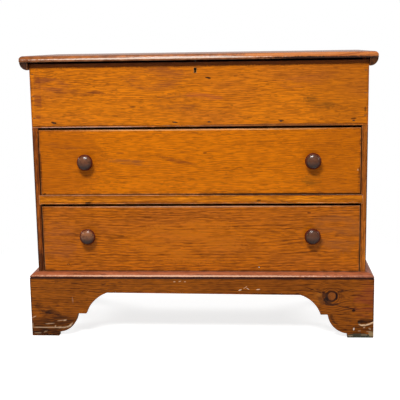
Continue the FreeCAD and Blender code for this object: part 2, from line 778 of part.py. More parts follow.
CLEAT_NAIL_STEP = "((case_depth + cleat_reach - 2 * nail_inset) / (cleat_nail_count - 1))"
cleat_nails = nails_along(
    "cleat_nails",
    [
        (
            f"{sign} * ({CLEAT_INSIDE} + cleat_radius / 2)",
            f"{FRONT} - cleat_reach + nail_inset + {step} * {CLEAT_NAIL_STEP}",
            f"{LID_LOW} - cleat_radius * sqrt(3) / 2 + nail_head",
        )
        for sign in (-1, 1) for step in range(int(number("cleat_nail_count")))
    ],
    "z", 1, "cleat_nail_length",
)

lid = body_named("lid_board_blank")
pad(lid, "XY", [box_outline(f"-{LID_END}", f"{FRONT} - lid_overhang", LID_END, BACK)], LID_LOW, LID_TOP)
doc.recompute()


def edge_names(shape, level, depth, reach):
    """The long edges of the lid's front and ends at one level."""
    names = []
    for index, edge in enumerate(shape.Edges, start=1):
        box = edge.BoundBox
        flat = abs(box.ZMin - level) < 1e-6 and abs(box.ZMax - level) < 1e-6
        front = abs(box.YMax - depth) < 1e-6
        end = abs(abs(box.XMin) - reach) < 1e-6 and box.XLength < 1e-6
        if flat and (front or end):
            names.append(f"Edge{index}")
    return names


for level, radius in ((LID_TOP, "lid_top_radius"), (LID_LOW, "lid_bottom_radius")):
    base = lid.Tip
    edges = edge_names(base.Shape, number(level), number(f"{FRONT} - lid_overhang"), number(LID_END))
    nose = lid.newObject("PartDesign::Fillet", f"nose_{radius}")
    nose.Base = (base, edges)
    nose.setExpression("Radius", bound(radius))
    lid.Tip = nose
    FEATURES.append(nose)
    doc.recompute()

pocket(lid, "XY", MORTISES, LID_LOW, f"{LID_LEAF_LOW} + leaf_thickness")
pocket(lid, "XY", [STRIKE], LID_LOW, STRIKE_TOP)
keep("lid_board", drilled("lid_board", lid, lid_screws, cleat_nails))

for name, sign in (("lid_cleat_left", -1), ("lid_cleat_right", 1)):
    cleat = body_named(f"{name}_blank")
    section = [
        (CLEAT_INSIDE, f"{LID_LOW} - cleat_radius", "cleat_radius", 1),
        (f"{CLEAT_INSIDE} + cleat_radius", LID_LOW),
        (CLEAT_INSIDE, LID_LOW),
    ]
    pad(cleat, "XZ", [mirrored(section, sign)], f"{FRONT} - cleat_reach", BACK)
    keep(name, drilled(name, cleat, cleat_nails))

# ---------------------------------------------------------------- the base


def foot(way, end, name, height):
    """Half of a bracket board's lower edge, from the foot's outer end in to the apron."""
    toe = f"{end} - {name}_toe"
    bulge = f"{toe} - {name}_bulge_reach"
    step = f"{bulge} - {name}_step"
    return [
        (f"{way} * ({end})", "0 * pad_height"),
        (f"{way} * ({toe})", "0 * pad_height"),
        (f"{way} * ({toe})", "pad_height", f"{name}_bulge_radius", -way),
        (f"{way} * ({bulge})", "step_height"),
        (f"{way} * ({step})", "step_height", f"{name}_cove_radius", way),
        (f"{way} * ({step} - {name}_cove_reach)", height),
    ]


def reversed_outline(outline):
    """The same corners the other way round, with each arc kept on its own side."""
    flipped = []
    count = len(outline)
    for index in range(count - 1, -1, -1):
        before = outline[index - 1] if index else ()
        arc = (before[2], -before[3]) if len(before) == 4 else ()
        flipped.append((outline[index][0], outline[index][1], *arc))
    return flipped


def bracket(left, right, left_end, right_end):
    """A bracket board's outline from two feet, between two ends."""
    lower = left[1:] + reversed_outline(right[1:])
    return [(left_end, "0 * pad_height")] + lower + [
        (right_end, "0 * pad_height"), (right_end, "base_height"), (left_end, "base_height")
    ]


BASE_SPAN = "(case_depth + base_thickness)"
BASE_MIDDLE = f"({BACK} - {BASE_SPAN} / 2)"


def shifted(outline, offset):
    """An outline moved along its first coordinate."""
    return [(f"{corner[0]} + {offset}", *corner[1:]) for corner in outline]


base_nails = nails_along(
    "base_front_nails",
    [
        (f"{sign} * ({CASE_END} - block_size / 2)", BASE_FRONT, f"{SIDE_LOW} * {share} / 3")
        for sign in (-1, 1) for share in (1, 2)
    ],
    "y", 1,
)
BLOCKS = (("front", FRONT), ("rear", f"({BACK} - rear_thickness - block_size)"))
side_nails = []
for side, sign in (("left", -1), ("right", 1)):
    for depth, near in BLOCKS:
        place = (f"{sign} * {BASE_END}", f"{near} + block_size / 2", f"{SIDE_LOW} / 2")
        side_nails.append(nail(f"base_nail_{side}_{depth}", place, "x", -sign))
base_side_nails = keep("base_side_nails", group("base_side_nails", side_nails))

# The base and its moulding are mitred at the two front corners, so no end grain shows there.
FRONT_MITRE = [(CASE_END, FRONT), (BASE_END, BASE_FRONT), (BASE_END, FRONT)]
SIDE_MITRE = [(CASE_END, FRONT), (CASE_END, BASE_FRONT), (BASE_END, BASE_FRONT)]
FRONT_MITRES = [mirrored(FRONT_MITRE, sign) for sign in (-1, 1)]

base_front = body_named("base_front_blank")
front_outline = bracket(
    foot(-1, BASE_END, "left", "left_apron"),
    foot(1, BASE_END, "right", "right_apron"),
    f"-{BASE_END}", BASE_END,
)
pad(base_front, "XZ", [front_outline], BASE_FRONT, FRONT)
pocket(base_front, "XY", FRONT_MITRES, "0 * base_height", "base_height")
keep("base_front", drilled("base_front", base_front, base_nails))

side_outline = bracket(
    shifted(foot(-1, f"{BASE_SPAN} / 2", "side", "side_apron"), BASE_MIDDLE),
    shifted(foot(1, f"{BASE_SPAN} / 2", "side", "side_apron"), BASE_MIDDLE),
    BASE_FRONT, BACK,
)
for name, sign in (("base_left", -1), ("base_right", 1)):
    board = body_named(f"{name}_blank")
    near, far = sorted((f"{sign} * {CASE_END}", f"{sign} * {BASE_END}"), key=number)
    pad(board, "YZ", [side_outline], near, far)
    pocket(board, "XY", [mirrored(SIDE_MITRE, sign)], "0 * base_height", "base_height")
    keep(name, drilled(name, board, base_side_nails))


def moulding_profile(face, way):
    """The base moulding's section against a face: a quirk, a small nose and a long round."""
    full = "base_thickness"
    quirk_top = "base_height + moulding_quirk"
    corners = [
        (f"{full} - moulding_quirk", "base_height"),
        (f"{full} - moulding_quirk", quirk_top),
        (full, quirk_top),
        (full, f"{quirk_top} + moulding_nose", "moulding_radius", way),
        ("moulding_ledge", DECK),
        ("0 * moulding_ledge", DECK),
        ("0 * moulding_ledge", "base_height"),
    ]
    return [(f"{face} + {way} * ({corner[0]})", *corner[1:]) for corner in corners]


front_moulding = body_named("base_moulding_front")
pad(front_moulding, "YZ", [moulding_profile(FRONT, -1)], f"-{BASE_END}", BASE_END)
pocket(front_moulding, "XY", FRONT_MITRES, "base_height", DECK)
keep("base_moulding_front", front_moulding)
for name, sign in (("base_moulding_left", -1), ("base_moulding_right", 1)):
    strip = body_named(name)
    pad(strip, "XZ", [moulding_profile(f"{sign} * {CASE_END}", sign)], BASE_FRONT, BACK)
    pocket(strip, "XY", [mirrored(SIDE_MITRE, sign)], "base_height", DECK)
    keep(name, strip)

for name, sign in (("rear_bracket_left", -1), ("rear_bracket_right", 1)):
    bracket_board = body_named(name)
    inner = f"({CASE_END} - rear_reach)"
    outline = [
        (CASE_END, "0 * pad_height"), (CASE_END, SIDE_LOW), (inner, SIDE_LOW),
        (inner, "rear_shoulder", "rear_radius", -1), (f"{CASE_END} - rear_toe", "pad_height"),
        (f"{CASE_END} - rear_toe", "0 * pad_height"),
    ]
    pad(bracket_board, "XZ", [mirrored(outline, sign)], f"{BACK} - rear_thickness", BACK)
    keep(name, bracket_board)

for side, sign in (("left", -1), ("right", 1)):
    for depth, near in BLOCKS:
        label = f"foot_block_{depth}_{side}"
        low_x, high_x = sorted((f"{sign} * {CASE_END}", f"{sign} * ({CASE_END} - block_size)"), key=number)
        wood = block(
            f"{label}_blank", (low_x, near, "0 * block_size"), (high_x, f"{near} + block_size", SIDE_LOW)
        )
        keep(label, drilled(label, wood, base_nails, base_side_nails))

# ---------------------------------------------------------------- the drawers


def knob(label, x, height):
    """A turned knob: a tenon through the drawer front, a waisted stem and a domed, ringed head."""
    body = body_named(label)
    out = {
        "crown": "knob_projection",
        "disc": "(knob_projection - knob_disc_depth)",
        "step": "(knob_projection - knob_disc_depth - knob_disc_step)",
        "rim": "(knob_projection - knob_rim_depth)",
        "rim_back": "(knob_projection - knob_rim_depth - knob_rim)",
        "neck": "knob_neck",
        "collar": "knob_collar",
        "tenon": "-drawer_front_thickness",
    }
    rim = "(knob_radius - knob_rim_bulge)"
    rim_round = "(knob_rim^2 / 4 + knob_rim_bulge^2) / (2 * knob_rim_bulge)"
    dome = "(knob_disc_radius^2 + knob_disc_depth^2) / (2 * knob_disc_depth)"
    corners = [
        ("crown", "0 * knob_radius"), ("tenon", "0 * knob_radius"), ("tenon", "tenon_radius"),
        ("face", "tenon_radius"), ("face", "knob_collar_radius"),
        ("collar", "knob_collar_radius", "knob_neck", -1),
        ("neck", "knob_neck_radius", "knob_flare_radius", -1),
        ("rim_back", rim, rim_round, 1), ("rim", rim, "knob_face_radius", 1),
        ("step", "knob_disc_radius"), ("disc", "knob_disc_radius", dome, 1),
    ]
    profile = [(f"{DRAWER_FACE} - {out.get(where, '0 * knob_radius')}", *rest) for where, *rest in corners]
    sketch = draw(body, "YZ", [profile], x)
    sketch.setExpression("AttachmentOffset.Base.y", bound(height))
    turned = body.newObject("PartDesign::Revolution", f"{label}_turning")
    turned.Profile = sketch
    turned.ReferenceAxis = (sketch, ["H_Axis"])
    turned.Angle = 360
    body.Tip = turned
    FEATURES.append(turned)
    return keep(label, body)


def tails(shoulder, end, low, high):
    """Dovetails between two heights, as trapezoids that widen away from their shoulder."""
    pitch = f"(({high} - {low}) / tail_count)"
    made = []
    for index in range(int(number("tail_count"))):
        middle = f"({low} + ({index} + 0.5) * {pitch})"
        made.append([
            (shoulder, f"{middle} - tail_width / 2"),
            (end, f"{middle} - tail_width / 2 - tail_flare"),
            (end, f"{middle} + tail_width / 2 + tail_flare"),
            (shoulder, f"{middle} + tail_width / 2"),
        ])
    return made


def drawer(name, low, high, knob_rise):
    """A dovetailed drawer: lapped at the front, through at the back, its bottom in grooves."""
    end = f"({CASE_INSIDE} - drawer_end_gap)"
    inside = f"({end} - drawer_side_thickness)"
    back_end = f"({BACK_INSIDE} - drawer_rear_gap)"
    back_face = f"({back_end} - drawer_side_thickness)"
    socket = f"({DRAWER_FACE} + drawer_lap)"
    board_low = f"({low} + drawer_bottom_rise)"
    board_top = f"({board_low} + drawer_bottom_thickness)"
    top = f"({high} - side_drop)"
    groove_face = f"({DRAWER_INSIDE} - drawer_groove)"
    groove_end = f"({inside} + drawer_groove)"
    front_tails = tails(DRAWER_INSIDE, socket, board_top, top)
    rear_tails = tails(back_face, back_end, board_top, top)

    front = body_named(f"{name}_front")
    face = box_outline(f"-{end}", low, end, high)
    knob_x = f"({end} - knob_inset)"
    knob_z = f"{low} + {knob_rise}"
    holes = [circle(f"{sign} * {knob_x}", knob_z, "tenon_radius") for sign in (-1, 1)]
    pad(front, "XZ", [face, *holes], DRAWER_FACE, DRAWER_INSIDE)
    pocket(front, "YZ", front_tails, inside, end)
    pocket(front, "YZ", front_tails, f"-{end}", f"-{inside}")
    groove = box_outline(groove_face, board_low, DRAWER_INSIDE, board_top)
    pocket(front, "YZ", [groove], f"-{groove_end}", groove_end)
    keep(f"{name}_front", front)

    back = body_named(f"{name}_back")
    pad(back, "XZ", [box_outline(f"-{end}", board_top, end, top)], back_face, back_end)
    pocket(back, "YZ", rear_tails, inside, end)
    pocket(back, "YZ", rear_tails, f"-{end}", f"-{inside}")
    keep(f"{name}_back", back)

    lower_edge = [(DRAWER_INSIDE, low), (back_end, low), (back_end, board_top), (back_face, board_top)]
    up_the_back = [corner for tail in rear_tails for corner in tail]
    down_the_front = [corner for tail in front_tails[::-1] for corner in tail[::-1]]
    side_outline = lower_edge + up_the_back + [(back_face, top), (DRAWER_INSIDE, top)] + down_the_front
    groove = box_outline(inside, board_low, groove_end, board_top)
    for side, sign in (("left", -1), ("right", 1)):
        board = body_named(f"{name}_side_{side}")
        near, far = sorted((f"{sign} * {inside}", f"{sign} * {end}"), key=number)
        pad(board, "YZ", [side_outline], near, far)
        pocket(board, "XZ", [mirrored(groove, sign)], DRAWER_INSIDE, back_end)
        keep(f"{name}_side_{side}", board)
        knob(f"{name}_knob_{side}", f"{sign} * {knob_x}", knob_z)

    bottom = body_named(f"{name}_bottom")
    outline = box_outline(f"-{groove_end}", groove_face, groove_end, back_end)
    pad(bottom, "XY", [outline], board_low, board_top)
    keep(f"{name}_bottom", bottom)


UPPER_DRAWER = (f"({DIVIDER_TOP} + runner_rise + drawer_play)", f"({FRONT_LOW} - upper_head_gap)")
LOWER_DRAWER = (f"({DECK} + drawer_play)", f"({DIVIDER_LOW} - lower_head_gap)")
drawer("upper_drawer", *UPPER_DRAWER, "knob_rise")
drawer("lower_drawer", *LOWER_DRAWER, "lower_knob_rise")

# ---------------------------------------------------------------- checks and files

doc.recompute()

for item in doc.Objects:
    if {"Invalid", "Error"} & set(item.State):
        raise ValueError(f"{item.Label} did not build: {item.State}")
for made in FEATURES:
    before = made.BaseFeature.Shape.Volume if made.BaseFeature else 0
    change = made.Shape.Volume - before
    grows = made.TypeId in ("PartDesign::Pad", "PartDesign::Revolution")
    if (grows and change <= 0) or (not grows and change >= 0):
        raise ValueError(f"{made.Label} changed nothing")

os.makedirs("parts", exist_ok=True)
for label, piece in NODES.items():
    shape = piece.Shape
    if shape.isNull() or not shape.isValid() or not shape.Solids:
        raise ValueError(f"{label} is not a valid solid")
    shape.exportStep(f"parts/{label}.step")
print(f"{len(NODES)} nodes")
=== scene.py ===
# %% [markdown]
# # Dressing a pine mule chest
#
# A mule chest is a lidded blanket chest with drawers below it. This one is pine, finished with
# shellac that has turned amber, then worn by two centuries of hands, brooms and damp floors. The
# joinery is already there as a frame of separate pieces, so this file adds only what the eye needs:
# the growth rings, the finish and its wear, the turned knobs and the battered feet.
#
# The same boxes could be modelled again here. Loading the frame is better, because a piece placed
# from it fits without any measuring.

# %% Load the frame
from math import cos, pi, radians, sin

import bpy
import numpy as np
from mathutils import Matrix, Vector


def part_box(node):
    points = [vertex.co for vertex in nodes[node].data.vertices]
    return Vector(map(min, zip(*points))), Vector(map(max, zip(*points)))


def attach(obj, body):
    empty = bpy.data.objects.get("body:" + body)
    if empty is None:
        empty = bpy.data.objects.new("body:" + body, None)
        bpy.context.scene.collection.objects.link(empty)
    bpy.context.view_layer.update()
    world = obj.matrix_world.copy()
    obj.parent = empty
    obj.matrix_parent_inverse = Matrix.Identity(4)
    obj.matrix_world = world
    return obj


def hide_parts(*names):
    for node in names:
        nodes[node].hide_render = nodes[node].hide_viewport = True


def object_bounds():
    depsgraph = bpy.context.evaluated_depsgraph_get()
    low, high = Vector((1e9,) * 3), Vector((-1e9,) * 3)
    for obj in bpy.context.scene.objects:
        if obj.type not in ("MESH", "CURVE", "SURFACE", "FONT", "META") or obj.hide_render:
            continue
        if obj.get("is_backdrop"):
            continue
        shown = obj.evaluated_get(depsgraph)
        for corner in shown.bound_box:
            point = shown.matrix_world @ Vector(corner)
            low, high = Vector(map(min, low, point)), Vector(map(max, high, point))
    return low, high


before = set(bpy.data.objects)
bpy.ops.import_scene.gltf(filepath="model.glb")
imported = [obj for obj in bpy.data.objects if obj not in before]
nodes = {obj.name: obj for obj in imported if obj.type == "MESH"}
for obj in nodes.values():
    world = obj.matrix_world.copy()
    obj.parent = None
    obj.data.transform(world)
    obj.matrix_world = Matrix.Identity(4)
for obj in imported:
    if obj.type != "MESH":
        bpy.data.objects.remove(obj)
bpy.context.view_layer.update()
MM = 0.001
SIDES = (("left", -1), ("right", 1))

# %% [markdown]
# ## Where the eye stands
#
# A chest is usually seen from the height of its lid and a few steps away, and a long lens keeps its
# sides straight. The camera could be aimed by a tracking constraint. Three written angles are
# plainer: how far it is turned, tipped and rolled always gives the same matrix.

# %% The camera
CAMERA_PLACE = Vector((0.1878, -2.87325, 0.9014))
TURN, TIP, ROLL = radians(3.97), radians(10.03), radians(-0.9)
SENSOR_MM, PICTURE_PIXELS, FOCAL_PIXELS = 36.0, 400, 884.8


def placed(name, data):
    """A new object in the scene."""
    thing = bpy.data.objects.new(name, data)
    bpy.context.scene.collection.objects.link(thing)
    return thing


ahead = Vector((-sin(TURN) * cos(TIP), cos(TURN) * cos(TIP), -sin(TIP)))
level = Vector((cos(TURN), sin(TURN), 0))
upward = level.cross(ahead)
right = cos(ROLL) * level + sin(ROLL) * upward
up = cos(ROLL) * upward - sin(ROLL) * level

camera = placed("camera", bpy.data.cameras.new("camera"))
camera.data.sensor_width = SENSOR_MM
camera.data.lens = SENSOR_MM * FOCAL_PIXELS / PICTURE_PIXELS
camera.matrix_world = Matrix.Translation(CAMERA_PLACE) @ Matrix((right, up, -ahead)).transposed().to_4x4()
bpy.context.scene.camera = camera
bpy.context.scene.view_settings.view_transform = "Standard"
print(f"lens {camera.data.lens:.1f} mm")

# %% [markdown]
# ## Building node trees without clutter
#
# A material in Blender is a tree of small nodes. Making and wiring each one in four lines would bury
# the idea. A helper that takes a node's kind, its settings and its inputs keeps one node to one
# line: what is a socket gets linked, and a plain number or a colour is just set. Only one tree is
# built at a time, so the helpers all work on the one that was opened last.

# %% Helpers for node trees
NOISE_ROUGHNESS = 0.55


def colour(code):
    """A colour written as six hex digits, in the shader's linear numbers."""
    channels = np.array([int(code[i:i + 2], 16) for i in (0, 2, 4)]) / 255
    linear = np.where(channels < 0.04045, channels / 12.92, ((channels + 0.055) / 1.055) ** 2.4)
    return (*linear.tolist(), 1.0)


def opened(new_tree):
    """The tree that the helpers build in from now on."""
    global tree
    tree = new_tree
    return tree


def plug(socket, value):
    """Link a socket to another, or set it to a number, a vector or a colour in hex digits."""
    if isinstance(value, bpy.types.NodeSocket):
        tree.links.new(value, socket)
    else:
        socket.default_value = colour(value) if isinstance(value, str) else value


def give(sockets, **values):
    """Plug values into sockets by name: an underscore stands for a space."""
    for name, value in values.items():
        plug(sockets[name.replace("_", " ")], value)


def add_node(kind, settings=None, **inputs):
    """A node of a kind, with its settings, and its inputs by name."""
    node = tree.nodes.new(f"ShaderNode{kind}")
    for name, value in (settings or {}).items():
        setattr(node, name, value)
    give(node.inputs, **inputs)
    return node


def maths(operation, *values):
    """The result of one Math node."""
    node = add_node("Math", {"operation": operation})
    for socket, value in zip(node.inputs, values):
        plug(socket, value)
    return node.outputs[0]


def fold(operation, first, *others):
    """Numbers taken into one, each by the same operation."""
    for other in others:
        first = maths(operation, first, other)
    return first


def times(*numbers):
    """Numbers multiplied together."""
    return fold("MULTIPLY", *numbers)


def vectors(operation, *values):
    """What one Vector Math node gives: a vector, or a number for a length."""
    node = add_node("VectorMath", {"operation": operation})
    sockets = (node.inputs[0], node.inputs["Scale"]) if operation == "SCALE" else node.inputs
    for socket, value in zip(sockets, values):
        plug(socket, value)
    return node.outputs["Value" if operation == "LENGTH" else "Vector"]


def noise(position, per_metre, detail=2.0, output="Fac"):
    """Noise with so many lumps per metre: one number, or a pair for along x and across it."""
    along, across = per_metre if isinstance(per_metre, tuple) else (per_metre, per_metre)
    stretched = vectors("MULTIPLY", position, (along, across, across))
    settings = dict(Vector=stretched, Scale=1.0, Detail=detail, Roughness=NOISE_ROUGHNESS)
    return add_node("TexNoise", **settings).outputs[output]


def drift(position, per_metre, detail):
    """Noise as a vector that wanders about nothing, up to a half each way."""
    return vectors("SUBTRACT", noise(position, per_metre, detail, "Color"), (0.5, 0.5, 0.5))


def ramp(value, low, high, start=0.0, end=1.0):
    """A smooth change from start to end while a value goes from low to high."""
    node = add_node("MapRange", {"interpolation_type": "SMOOTHSTEP"}, Value=value)
    give(node.inputs, From_Min=low, From_Max=high, To_Min=start, To_Max=end)
    return node.outputs[0]


def tint(share, below, above):
    """One colour laid over another by a share from 0 to 1."""
    node = add_node("Mix", {"data_type": "RGBA"})
    for index, value in ((0, share), (6, below), (7, above)):
        plug(node.inputs[index], value)
    return node.outputs[2]


def group_of(name, vector_inputs, number_inputs, number_outputs, vector_outputs=""):
    """An empty node group with named sockets, as (group, what comes in, what goes out)."""
    group = opened(bpy.data.node_groups.new(name, "ShaderNodeTree"))
    for way, kind, names in (("INPUT", "Vector", vector_inputs), ("INPUT", "Float", number_inputs),
                             ("OUTPUT", "Vector", vector_outputs), ("OUTPUT", "Float", number_outputs)):
        for socket in filter(None, names.split(", ")):
            group.interface.new_socket(socket, in_out=way, socket_type=f"NodeSocket{kind}")
    return group, group.nodes.new("NodeGroupInput").outputs, group.nodes.new("NodeGroupOutput").inputs


def use(group, **inputs):
    """A group placed in a material, with its inputs by name. Gives its outputs."""
    return add_node("Group", {"node_tree": group}, **inputs).outputs


def blank(name):
    """A new material, as (material, its shader, the place in the object)."""
    material = bpy.data.materials.new(name)
    material.use_nodes = True
    shader = opened(material.node_tree).nodes["Principled BSDF"]
    return material, shader, add_node("TexCoord").outputs["Object"]


def point_number(name):
    """A number that the points of the mesh carry."""
    return add_node("Attribute", {"attribute_name": name}).outputs["Fac"]


def surface(shader, height, strength, depth, **inputs):
    """Set the shader's inputs by name, and its bump, whose depth is in millimetres."""
    give(shader.inputs, **inputs)
    bump = add_node("Bump", Height=height, Strength=strength, Distance=depth * MM)
    plug(shader.inputs["Normal"], bump.outputs[0])


print("helpers ready")

# %% [markdown]
# ## Growth rings
#
# A board is a slice through a tree, and its figure is where the slice crosses the yearly rings. An
# image of wood could be stretched over it, but then the end grain never meets the face. Here the
# tree itself is worked out: the distance from its heart, divided by the width of a year, counts the
# rings. Whatever face cuts through them then shows the right figure, with its arches and its end
# grain.
#
# Three kinds of unevenness keep it from looking turned on a lathe: the heart wanders slowly, the
# rings ripple, and each winter line has its own darkness.

# %% The pine figure
LUMPS = {  # per metre, along the grain and across it
    "Wander": (1.7, 5.0), "Ripple": (9.0, 30.0), "Shimmer": (30.0, 160.0), "Fading": (5.0, 40.0),
    "Gaps": (40.0, 150.0), "Fibre": (28.0, 360.0), "Dash": (50.0, 300.0), "Crowd": (8.0, 24.0),
    "Streak": (3.0, 95.0), "Mottle": (13.0, 60.0), "Patch": (3.4, 11.0),
}
figure, given, made = group_of("pine_figure", "Position, Heart, Lean, Bow", "Year, Ripple, Wander, Broken",
                               "Rings, Fibre, Dash, Streak, Mottle, Patch, Height")
spot = given["Position"]


def lumps(name, detail):
    """One noise of the figure, stretched along the grain."""
    return noise(spot, LUMPS[name], detail)


along = add_node("SeparateXYZ", Vector=spot).outputs[0]
from_heart = vectors("SUBTRACT", spot, given["Heart"])
from_heart = vectors("SUBTRACT", from_heart, vectors("SCALE", given["Lean"], along))
bowed = vectors("SCALE", given["Bow"], times(along, along))
from_heart = vectors("SUBTRACT", from_heart, bowed)
for name, detail in (("Wander", 1.0), ("Ripple", 2.0)):
    waver = vectors("SCALE", drift(spot, LUMPS[name], detail), given[name])
    from_heart = vectors("ADD", from_heart, waver)
across = vectors("LENGTH", vectors("MULTIPLY", from_heart, (0.0, 1.0, 1.0)))
shimmer = times(lumps("Shimmer", 1.0), 0.5)
years = maths("ADD", maths("DIVIDE", across, given["Year"]), shimmer)
season = maths("FRACT", years)
this_year = add_node("TexWhiteNoise", {"noise_dimensions": "1D"}, W=maths("FLOOR", years))
winter = times(ramp(season, 0.45, 0.78), ramp(season, 1.0, 0.9))
gaps = ramp(lumps("Gaps", 1.0), 0.42, 0.56, -1.0, 0.0)
unbroken = maths("MULTIPLY_ADD", gaps, given["Broken"], 1.0)
fading = times(ramp(lumps("Fading", 1.0), 0.3, 0.65, 0.4, 1.0), unbroken)
darkness = maths("MULTIPLY_ADD", this_year.outputs["Value"], 0.75, 0.25)
rings = times(winter, darkness, fading)
fibre = lumps("Fibre", 1.0)
dash = times(ramp(lumps("Dash", 1.0), 0.57, 0.64), ramp(lumps("Crowd", 2.0), 0.4, 0.6, 0.35, 1.0))
give(made, Rings=rings, Fibre=fibre, Dash=dash, Streak=lumps("Streak", 2.0),
     Mottle=lumps("Mottle", 4.0), Patch=lumps("Patch", 4.0),
     Height=maths("MULTIPLY_ADD", rings, 0.6, fibre))
print(f"pine_figure has {len(figure.nodes)} nodes")

# %% [markdown]
# ## Knots
#
# A knot is the foot of a branch, cut across. Its own rings are small and dark, and the rings of the
# trunk part to flow round it. A dark disc alone would look stuck on. So this group does two things:
# it marks the disc and its rim, and it bends the place that the trunk's rings are worked out from.

# %% The knot
KNOT_LUMPS = 45.0
knot, given, made = group_of("knot", "Position, Centre, Across", "Radius, Reach, Pull",
                             "Core, Rim, Rings, Halo", "Bent")
spot, radius = given["Position"], given["Radius"]
offset = vectors("MULTIPLY", vectors("SUBTRACT", spot, given["Centre"]), given["Across"])
rough = vectors("SCALE", drift(spot, KNOT_LUMPS, 3.0), times(radius, 0.7))
ragged = vectors("MULTIPLY", vectors("ADD", offset, rough), given["Across"])
distance = vectors("LENGTH", ragged)
share = maths("DIVIDE", distance, radius)
pull = ramp(distance, 0.0, given["Reach"], given["Pull"], 0.0)


def growth(per_radius, low, high):
    """Rings round the knot's middle, so many to a radius."""
    return ramp(maths("FRACT", times(share, per_radius)), low, high)


round_it = times(ramp(share, 1.0, 1.2), ramp(share, 2.6, 1.2))
give(made, Bent=vectors("SUBTRACT", spot, vectors("SCALE", offset, pull)),
     Core=ramp(share, 1.05, 0.9),
     Rim=times(ramp(share, 0.74, 0.9), ramp(share, 1.4, 1.02)),
     Rings=growth(3.5, 0.3, 0.9), Halo=times(growth(2.3, 0.35, 0.85), round_it))
print(f"knot has {len(knot.nodes)} nodes")

# %% [markdown]
# ## Wear along the edges
#
# An edge is where hands and cloths rub the finish thin, and just inside it is where dirt is pushed
# and stays. On a board, the distance to the nearest edge has a simple form. Take how far a point is
# from the pair of faces across each of the three axes. On a face one of the three is nothing, so
# the middle one of the three is the distance to the nearest edge.

# %% The edge wear
WEAR_LUMPS = 45.0


def box_gaps(given):
    """How far inside a box a place is, between each of its three pairs of faces."""
    below = vectors("SUBTRACT", given["Position"], given["Low"])
    above = vectors("SUBTRACT", given["High"], given["Position"])
    return add_node("SeparateXYZ", Vector=vectors("MINIMUM", below, above)).outputs


edges, given, made = group_of("worn_edges", "Position, Low, High", "Rub Width, Dirt Width", "Rub, Dirt")
near = box_gaps(given)
total, least, most = (fold(operation, *near) for operation in ("ADD", "MINIMUM", "MAXIMUM"))
edge = maths("SUBTRACT", maths("SUBTRACT", total, least), most)
uneven = noise(given["Position"], WEAR_LUMPS, 4.0)
rub_width = times(given["Rub Width"], ramp(uneven, 0.3, 0.7, 0.4, 1.5))
dirt_width = times(given["Dirt Width"], ramp(uneven, 0.7, 0.3, 0.15, 1.6))
give(made, Rub=ramp(edge, 0.0, rub_width, 1.0, 0.0), Dirt=ramp(edge, 0.0, dirt_width, 1.0, 0.0))
print(f"worn_edges has {len(edges.nodes)} nodes")

# %% [markdown]
# ## Where the finish stops
#
# Only what shows from outside was finished. The inner faces of the same boards stayed bare and
# turned a dull tan. Splitting each board into two materials by its faces would work, but the
# frame's meshes are left alone, so a box is given instead: wood inside the box is bare.

# %% Bare wood inside a box
BRUSH_LUMPS, BRUSH_WAVE, BRUSH_FADE = 60.0, 2 * MM, 0.6 * MM
inside, given, made = group_of("bare_inside", "Position, Low, High", "", "Bare")
wave = maths("MULTIPLY_ADD", noise(given["Position"], BRUSH_LUMPS), BRUSH_WAVE, -BRUSH_WAVE / 2)
deep = maths("ADD", fold("MINIMUM", *box_gaps(given)), wave)
give(made, Bare=ramp(deep, 0.0, BRUSH_FADE))
print(f"bare_inside has {len(inside.nodes)} nodes")

# %% [markdown]
# ## Marks of use, painted shade and painted highlights
#
# Nail holes, scars, scratches and chips are all small ragged ovals that differ in size, turn and
# colour. Each could be modelled, but a scratch a hair deep is better as colour and a shallow bump.
# The same ragged oval also paints shade into gaps and under the lid, and highlights along some
# rounded arrises.

# %% One ragged mark
MARK_LUMPS = 170.0
mark, given, made = group_of("mark", "Position, Centre, Size", "Turn, Ragged", "Mask")
offset = vectors("SUBTRACT", given["Position"], given["Centre"])
spun = add_node("VectorRotate", {"rotation_type": "Y_AXIS"}, Vector=offset, Angle=given["Turn"])
scaled = vectors("DIVIDE", spun.outputs[0], given["Size"])
rough = vectors("SCALE", drift(given["Position"], MARK_LUMPS, 3.0), given["Ragged"])
give(made, Mask=ramp(vectors("LENGTH", vectors("ADD", scaled, rough)), 1.15, 0.75))
print(f"mark has {len(mark.nodes)} nodes")

# %% [markdown]
# ## One board, one material
#
# No two boards of a chest come from the same place in a tree, so each has a material of its own,
# with its own heart, its own width of year and its own depth of amber. They share the groups above.
# The rings, dashes and streaks darken the amber, stains lie in patches, and the finish on top is
# glossy but scuffed.

# %% The pine material
TURNS = {"x": (0, 0, 0), "y": (0, 0, -pi / 2), "z": (0, pi / 2, 0)}
SWAP = {"x": (0, 1, 2), "y": (1, 0, 2), "z": (2, 1, 0)}
BARE_LIGHT, BARE_DARK, BARE_STAIN = "a87f4e", "7a5532", "6b4a2c"
RUB_WIDTH, DIRT_WIDTH, MARK_RAGGED = 2.2 * MM, 8 * MM, 0.9
SPECULAR, SHELLAC_ROUGHNESS = 0.08, 0.14
# Where each noise of the figure begins to show, and where it shows in full.
SHOWS = {"Patch": (0.42, 0.68), "Mottle": (0.4, 0.68), "Streak": (0.42, 0.7), "Fibre": (0.4, 0.62)}


def in_metres(millimetres):
    """A place or size in millimetres, in metres."""
    return tuple(value * MM for value in millimetres)


